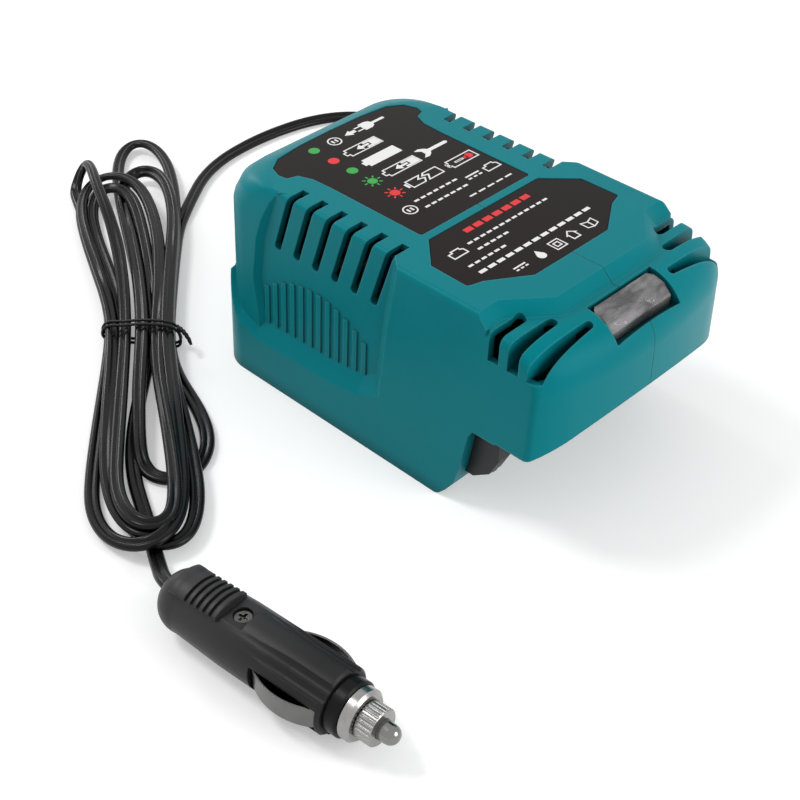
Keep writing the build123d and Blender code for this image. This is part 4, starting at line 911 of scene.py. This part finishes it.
def tie_end(turned):
    """One of the two twisted ends, from the knot to its tip."""
    corners = []
    for i in range(TWIST_STEPS + 1):
        t = i / TWIST_STEPS
        weights = ((1 - t) ** 2, 2 * t * (1 - t), t**2)
        across = sum(weight * place[0] for weight, place in zip(weights, TIE_END))
        height = sum(weight * place[1] for weight, place in zip(weights, TIE_END))
        angle = turned + t * TWISTS * 2 * pi
        along = TWIST_RADIUS * cos(angle) - TWIST_DRIFT * t
        corners.append(on_tie(across, along, height + TWIST_RADIUS * sin(angle)))
    return corners


def tie_route():
    """Corners of the whole wire, from one end to the other."""
    first = [on_tie(across, TURN_GAP, height) for across, height in HANK_EDGE]
    second = [on_tie(across, -TURN_GAP, height) for across, height in HANK_EDGE]
    return list(reversed(tie_end(0.0))) + first + second + tie_end(pi)


# ---- operators ----
PLUG_FRONT_Y = -0.072
PLUG_BACK_Y = -0.03


class CHARGER_OT_housing(bpy.types.Operator):
    """Finishes the two moulded housing halves"""

    bl_idname = "charger.housing"
    bl_label = "Housing"

    def execute(self, context):
        look = context.scene.charger.housing
        teal = moulded_plastic(
            "housing_teal",
            look.body,
            look.satin,
            look.soft_edge,
            look.grain,
            rise=0.00003,
            # lift of the painted edge highlight
            highlight_lift=0.05,
            gloss=0.12,
            tint=look.gleam,
            seam=0.00018,
        )
        dress(teal, "housing_left", "housing_right")
        return {"FINISHED"}


class CHARGER_OT_underside(bpy.types.Operator):
    """Finishes the guide shoes, the terminal block with its blades, and the housing screws"""

    bl_idname = "charger.underside"
    bl_label = "Underside"

    def execute(self, context):
        look = context.scene.charger.housing
        shoe = moulded_plastic("shoe_black", look.shoe, 0.42, 0.0005)
        dress(shoe, "guide_shoe_left", "guide_shoe_right", "terminal_block")
        dress(plated_metal("blade_nickel", (0.72, 0.69, 0.62), 0.24), "terminal_blades")
        dress(plated_metal("screw_zinc", (0.42, 0.42, 0.43), 0.34), "housing_screws")
        return {"FINISHED"}


class CHARGER_OT_labels(bpy.types.Operator):
    """Finishes both label films and prints their pictograms"""

    bl_idname = "charger.labels"
    bl_label = "Labels"

    def execute(self, context):
        look = context.scene.charger.housing
        inks = context.scene.charger.inks
        dress(label_film("label_black", look.film), "status_panel", "info_panel")
        for name, tone, marks in (
            ("marks_white", inks.white, WHITE_MARKS),
            ("marks_green", inks.green, GREEN_MARKS),
            ("marks_red", inks.red, RED_MARKS),
        ):
            print_marks(name, marks, printed_ink(name, tone), inks.ink)
        return {"FINISHED"}


class CHARGER_OT_window(bpy.types.Operator):
    """Finishes the indicator window and the lamps behind it"""

    bl_idname = "charger.window"
    bl_label = "Window"

    def execute(self, context):
        look = context.scene.charger.housing
        dress(frosted_window("window_frosted", look.window), "indicator_window")
        clear = inner_finish("lamp_clear", (0.75, 0.8, 0.75), 0.25, size=0.002, contrast=0.1)
        dress(clear, "indicator_leds")
        return {"FINISHED"}


class CHARGER_OT_electronics(bpy.types.Operator):
    """Finishes the boards and the parts on them"""

    bl_idname = "charger.electronics"
    bl_label = "Electronics"

    def execute(self, context):
        dress(board_finish("board_green"), "main_board", "indicator_board")
        dress(wound_finish("winding_tape", (0.2, 0.13, 0.02), 0.0012, 0.4), "transformer")
        dress(wound_finish("winding_copper", (0.16, 0.05, 0.02), 0.0007, 0.35), "input_choke")
        dress(inner_finish("capacitor_sleeve", (0.02, 0.03, 0.1), 0.3, size=0.004), "filter_capacitors")
        dress(plated_metal("sink_anodised", (0.06, 0.06, 0.065), 0.45), "heat_sink")
        epoxy = inner_finish("transistor_epoxy", (0.03, 0.03, 0.03), 0.55, size=0.0006)
        dress(epoxy, "power_transistors")
        dress(inner_finish("wire_red", (0.4, 0.02, 0.015), 0.4, size=0.003), "supply_wires")
        dress(inner_finish("clamp_black", (0.03, 0.03, 0.032), 0.5), "cord_clamp")
        dress(plated_metal("screw_small", (0.5, 0.5, 0.5), 0.3), "board_screws", "clamp_screws")
        return {"FINISHED"}


class CHARGER_OT_cord(bpy.types.Operator):
    """Lays the flat twin cord from the housing through its hank to the plug"""

    bl_idname = "charger.cord"
    bl_label = "Cord"

    def execute(self, context):
        sizes = context.scene.charger.cord
        jacket = cord_jacket("cord_black", sizes.jacket)
        corners = [[value * MM for value in corner] for corner in CORD_ROUTE]
        route = mesh_from_curve("cord_route", nurbs("cord_route", corners, 10))
        line = [vertex.co.copy() for vertex in route.vertices]
        bpy.data.meshes.remove(route)
        mesh = sweep("flat_cord", line, sizes.width, sizes.thickness)
        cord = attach(add_piece("flat_cord", mesh, jacket), "charger")
        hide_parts("cord_lead_out", "cord_hank", "cord_lead_plug")
        dress(moulded_plastic("boot_black", sizes.jacket, 0.4, 0.0004), "cord_boot")
        return {"FINISHED"}


class CHARGER_OT_tie(bpy.types.Operator):
    """Ties the hank with a twisted wire"""

    bl_idname = "charger.tie"
    bl_label = "Twist tie"

    def execute(self, context):
        sizes = context.scene.charger.cord
        curve = nurbs("tie_wire", tie_route(), 6)
        curve.bevel_depth = sizes.tie / 2
        curve.bevel_resolution = 2
        curve.use_fill_caps = True
        mesh = mesh_from_curve("tie_wire", curve)
        mesh.shade_smooth()
        black = moulded_plastic("tie_black", sizes.jacket, 0.35, 0.0002)
        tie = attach(add_piece("tie_wire", mesh, black), "charger")
        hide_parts("twist_tie")
        return {"FINISHED"}


class CHARGER_OT_plug(bpy.types.Operator):
    """Finishes the vehicle plug"""

    bl_idname = "charger.plug"
    bl_label = "Vehicle plug"

    def execute(self, context):
        look = context.scene.charger.plug
        shell = graded_shell("plug_satin", look.body, look.front, PLUG_FRONT_Y, PLUG_BACK_Y)
        nose = moulded_plastic("plug_nose_black", look.nose, 0.32, 0.0004, gloss=0.12)
        metal = plated_metal("plug_nickel", look.metal, 0.22)
        contact = plated_metal("contact_steel", look.spring, 0.3)
        dress(shell, "plug_upper_shell", "plug_lower_shell")
        dress(nose, "plug_nose")
        dress(metal, "contact_ring", "knurled_nut")
        dress(plated_metal("tip_nickel", darker(look.metal, 0.7), 0.12), "tip_pin")
        dress(contact, "side_contact_left", "side_contact_right")
        dress(plated_metal("plug_screw_steel", darker(look.spring, 0.8), 0.2), "plug_screw")
        dress(inner_finish("fuse_glass", (0.7, 0.75, 0.75), 0.2, size=0.003, contrast=0.1), "fuse")
        dress(plated_metal("spring_steel", (0.5, 0.5, 0.5), 0.3), "tip_spring")
        return {"FINISHED"}


# ---- stage ----
WHITE = (1.0, 1.0, 1.0)
FLOOR_SIZE = 6.0
FLOOR_GLOW = 0.58
NEAR_GLOW = 0.55  # share of the floor's glow near the origin; it grows between the next two distances
GLOW_GROWS = (0.5, 1.8)
CAMERA_AT = (-0.3143, -0.2788, 0.3319)
CAMERA_TURN = radians(-45.49)
CAMERA_LIFT = radians(38.946)
CAMERA_LENS = 69.56
CAMERA_SENSOR = 36.0


class CHARGER_OT_stage(bpy.types.Operator):
    """Sets up the pale floor, the studio light and the camera"""

    bl_idname = "charger.stage"
    bl_label = "Stage"

    def execute(self, context):
        light = context.scene.charger.light
        self.floor()
        self.sky(context.scene, light.sky)
        self.lamp("rear lamp", (-0.35, 0.6, 1.0), (-0.05, 0.05, 0.03), 0.35, light.key)
        self.lamp("edge lamp", (0.1, 1.18, 0.5), (-0.06, 0.1, 0.0), 0.22, light.edge)
        self.lamp("front lamp", (0.35, -1.1, 0.5), (-0.05, 0.0, 0.03), 0.8, light.fill)
        self.camera(context.scene)
        context.scene.view_settings.view_transform = "Standard"
        return {"FINISHED"}

    def floor(self):
        bpy.ops.mesh.primitive_grid_add(size=FLOOR_SIZE, x_subdivisions=2, y_subdivisions=2)
        floor = bpy.context.active_object
        floor.name = "floor"
        finish = Finish("floor_paper")
        paper = finish.noise(finish.place(), 0.05, 2.0)
        base = finish.blend(paper, (0.78, 0.78, 0.78), (0.8, 0.8, 0.8))
        diffuse = finish.node("ShaderNodeBsdfDiffuse", None, Color=base)
        away = finish.node("ShaderNodeVectorMath", {"operation": "LENGTH"}, finish.place(), out=1)
        far = finish.node("ShaderNodeMapRange", None, away, *GLOW_GROWS, 0.0, 1.0)
        light = finish.blend(far, darker(WHITE, NEAR_GLOW), WHITE)
        glow = finish.node("ShaderNodeEmission", None, Color=light, Strength=FLOOR_GLOW)
        black = finish.node("ShaderNodeEmission", None, Color=(0.0, 0.0, 0.0, 1.0), Strength=0.0)
        lift = finish.node("ShaderNodeMixShader", None, finish.rays_seen(), black, glow)
        both = finish.node("ShaderNodeAddShader", None, diffuse, lift)
        floor.data.materials.append(finish.close(both))

    def sky(self, scene, strength):
        finish = Finish("studio", "worlds")
        even = finish.node("ShaderNodeBackground", None, (*WHITE, 1.0), strength)
        backdrop = finish.node("ShaderNodeBackground", None, (*WHITE, 1.0), 1.0)
        mix = finish.node("ShaderNodeMixShader", None, finish.rays_seen(), even, backdrop)
        scene.world = finish.close(mix, "ShaderNodeOutputWorld")

    def lamp(self, name, place, target, size, power):
        data = bpy.data.lights.new(name, "AREA")
        data.shape = "DISK"
        data.size = size
        data.energy = power
        lamp = bpy.data.objects.new(name, data)
        lamp.location = place
        lamp.rotation_euler = (Vector(target) - Vector(place)).to_track_quat("-Z", "Y").to_euler()
        bpy.context.scene.collection.objects.link(lamp)

    def camera(self, scene):
        data = bpy.data.cameras.new("camera")
        data.lens = CAMERA_LENS
        data.sensor_width = CAMERA_SENSOR
        data.clip_start = 0.01
        camera = bpy.data.objects.new("camera", data)
        level = cos(CAMERA_LIFT)
        back = Vector((sin(CAMERA_TURN) * level, -cos(CAMERA_TURN) * level, sin(CAMERA_LIFT)))
        right = Vector((cos(CAMERA_TURN), sin(CAMERA_TURN), 0.0))
        axes = Matrix((right, back.cross(right), back)).transposed().to_4x4()
        camera.matrix_world = Matrix.Translation(CAMERA_AT) @ axes
        scene.collection.objects.link(camera)
        scene.camera = camera


class CHARGER_PT_panel(bpy.types.Panel):
    """Lists the charger's pieces, sizes and colours"""

    bl_idname = "CHARGER_PT_panel"
    bl_label = "Charger"
    bl_space_type = "VIEW_3D"
    bl_region_type = "UI"
    bl_category = "Charger"

    def draw(self, context):
        settings = context.scene.charger
        for group in (settings.housing, settings.inks, settings.cord, settings.plug, settings.light):
            box = self.layout.box()
            for name in group.__annotations__:
                box.prop(group, name)
        for operator in OPERATORS:
            self.layout.operator(operator.bl_idname)


OPERATORS = (
    CHARGER_OT_stage,
    CHARGER_OT_housing,
    CHARGER_OT_underside,
    CHARGER_OT_labels,
    CHARGER_OT_window,
    CHARGER_OT_electronics,
    CHARGER_OT_cord,
    CHARGER_OT_tie,
    CHARGER_OT_plug,
)
CLASSES = (
    HousingFinish,
    PrintColours,
    CordSizes,
    PlugFinish,
    StageLight,
    ChargerSettings,
    *OPERATORS,
    CHARGER_PT_panel,
)


def register():
    for item in CLASSES:
        bpy.utils.register_class(item)
    bpy.types.Scene.charger = PointerProperty(type=ChargerSettings)


def unregister():
    del bpy.types.Scene.charger
    for item in reversed(CLASSES):
        bpy.utils.unregister_class(item)


def main():
    register()
    bpy.ops.charger.stage()
    bpy.ops.charger.housing()
    bpy.ops.charger.underside()
    bpy.ops.charger.labels()
    bpy.ops.charger.window()
    bpy.ops.charger.electronics()
    bpy.ops.charger.cord()
    bpy.ops.charger.tie()
    bpy.ops.charger.plug()


if __name__ == "__main__":
    main()
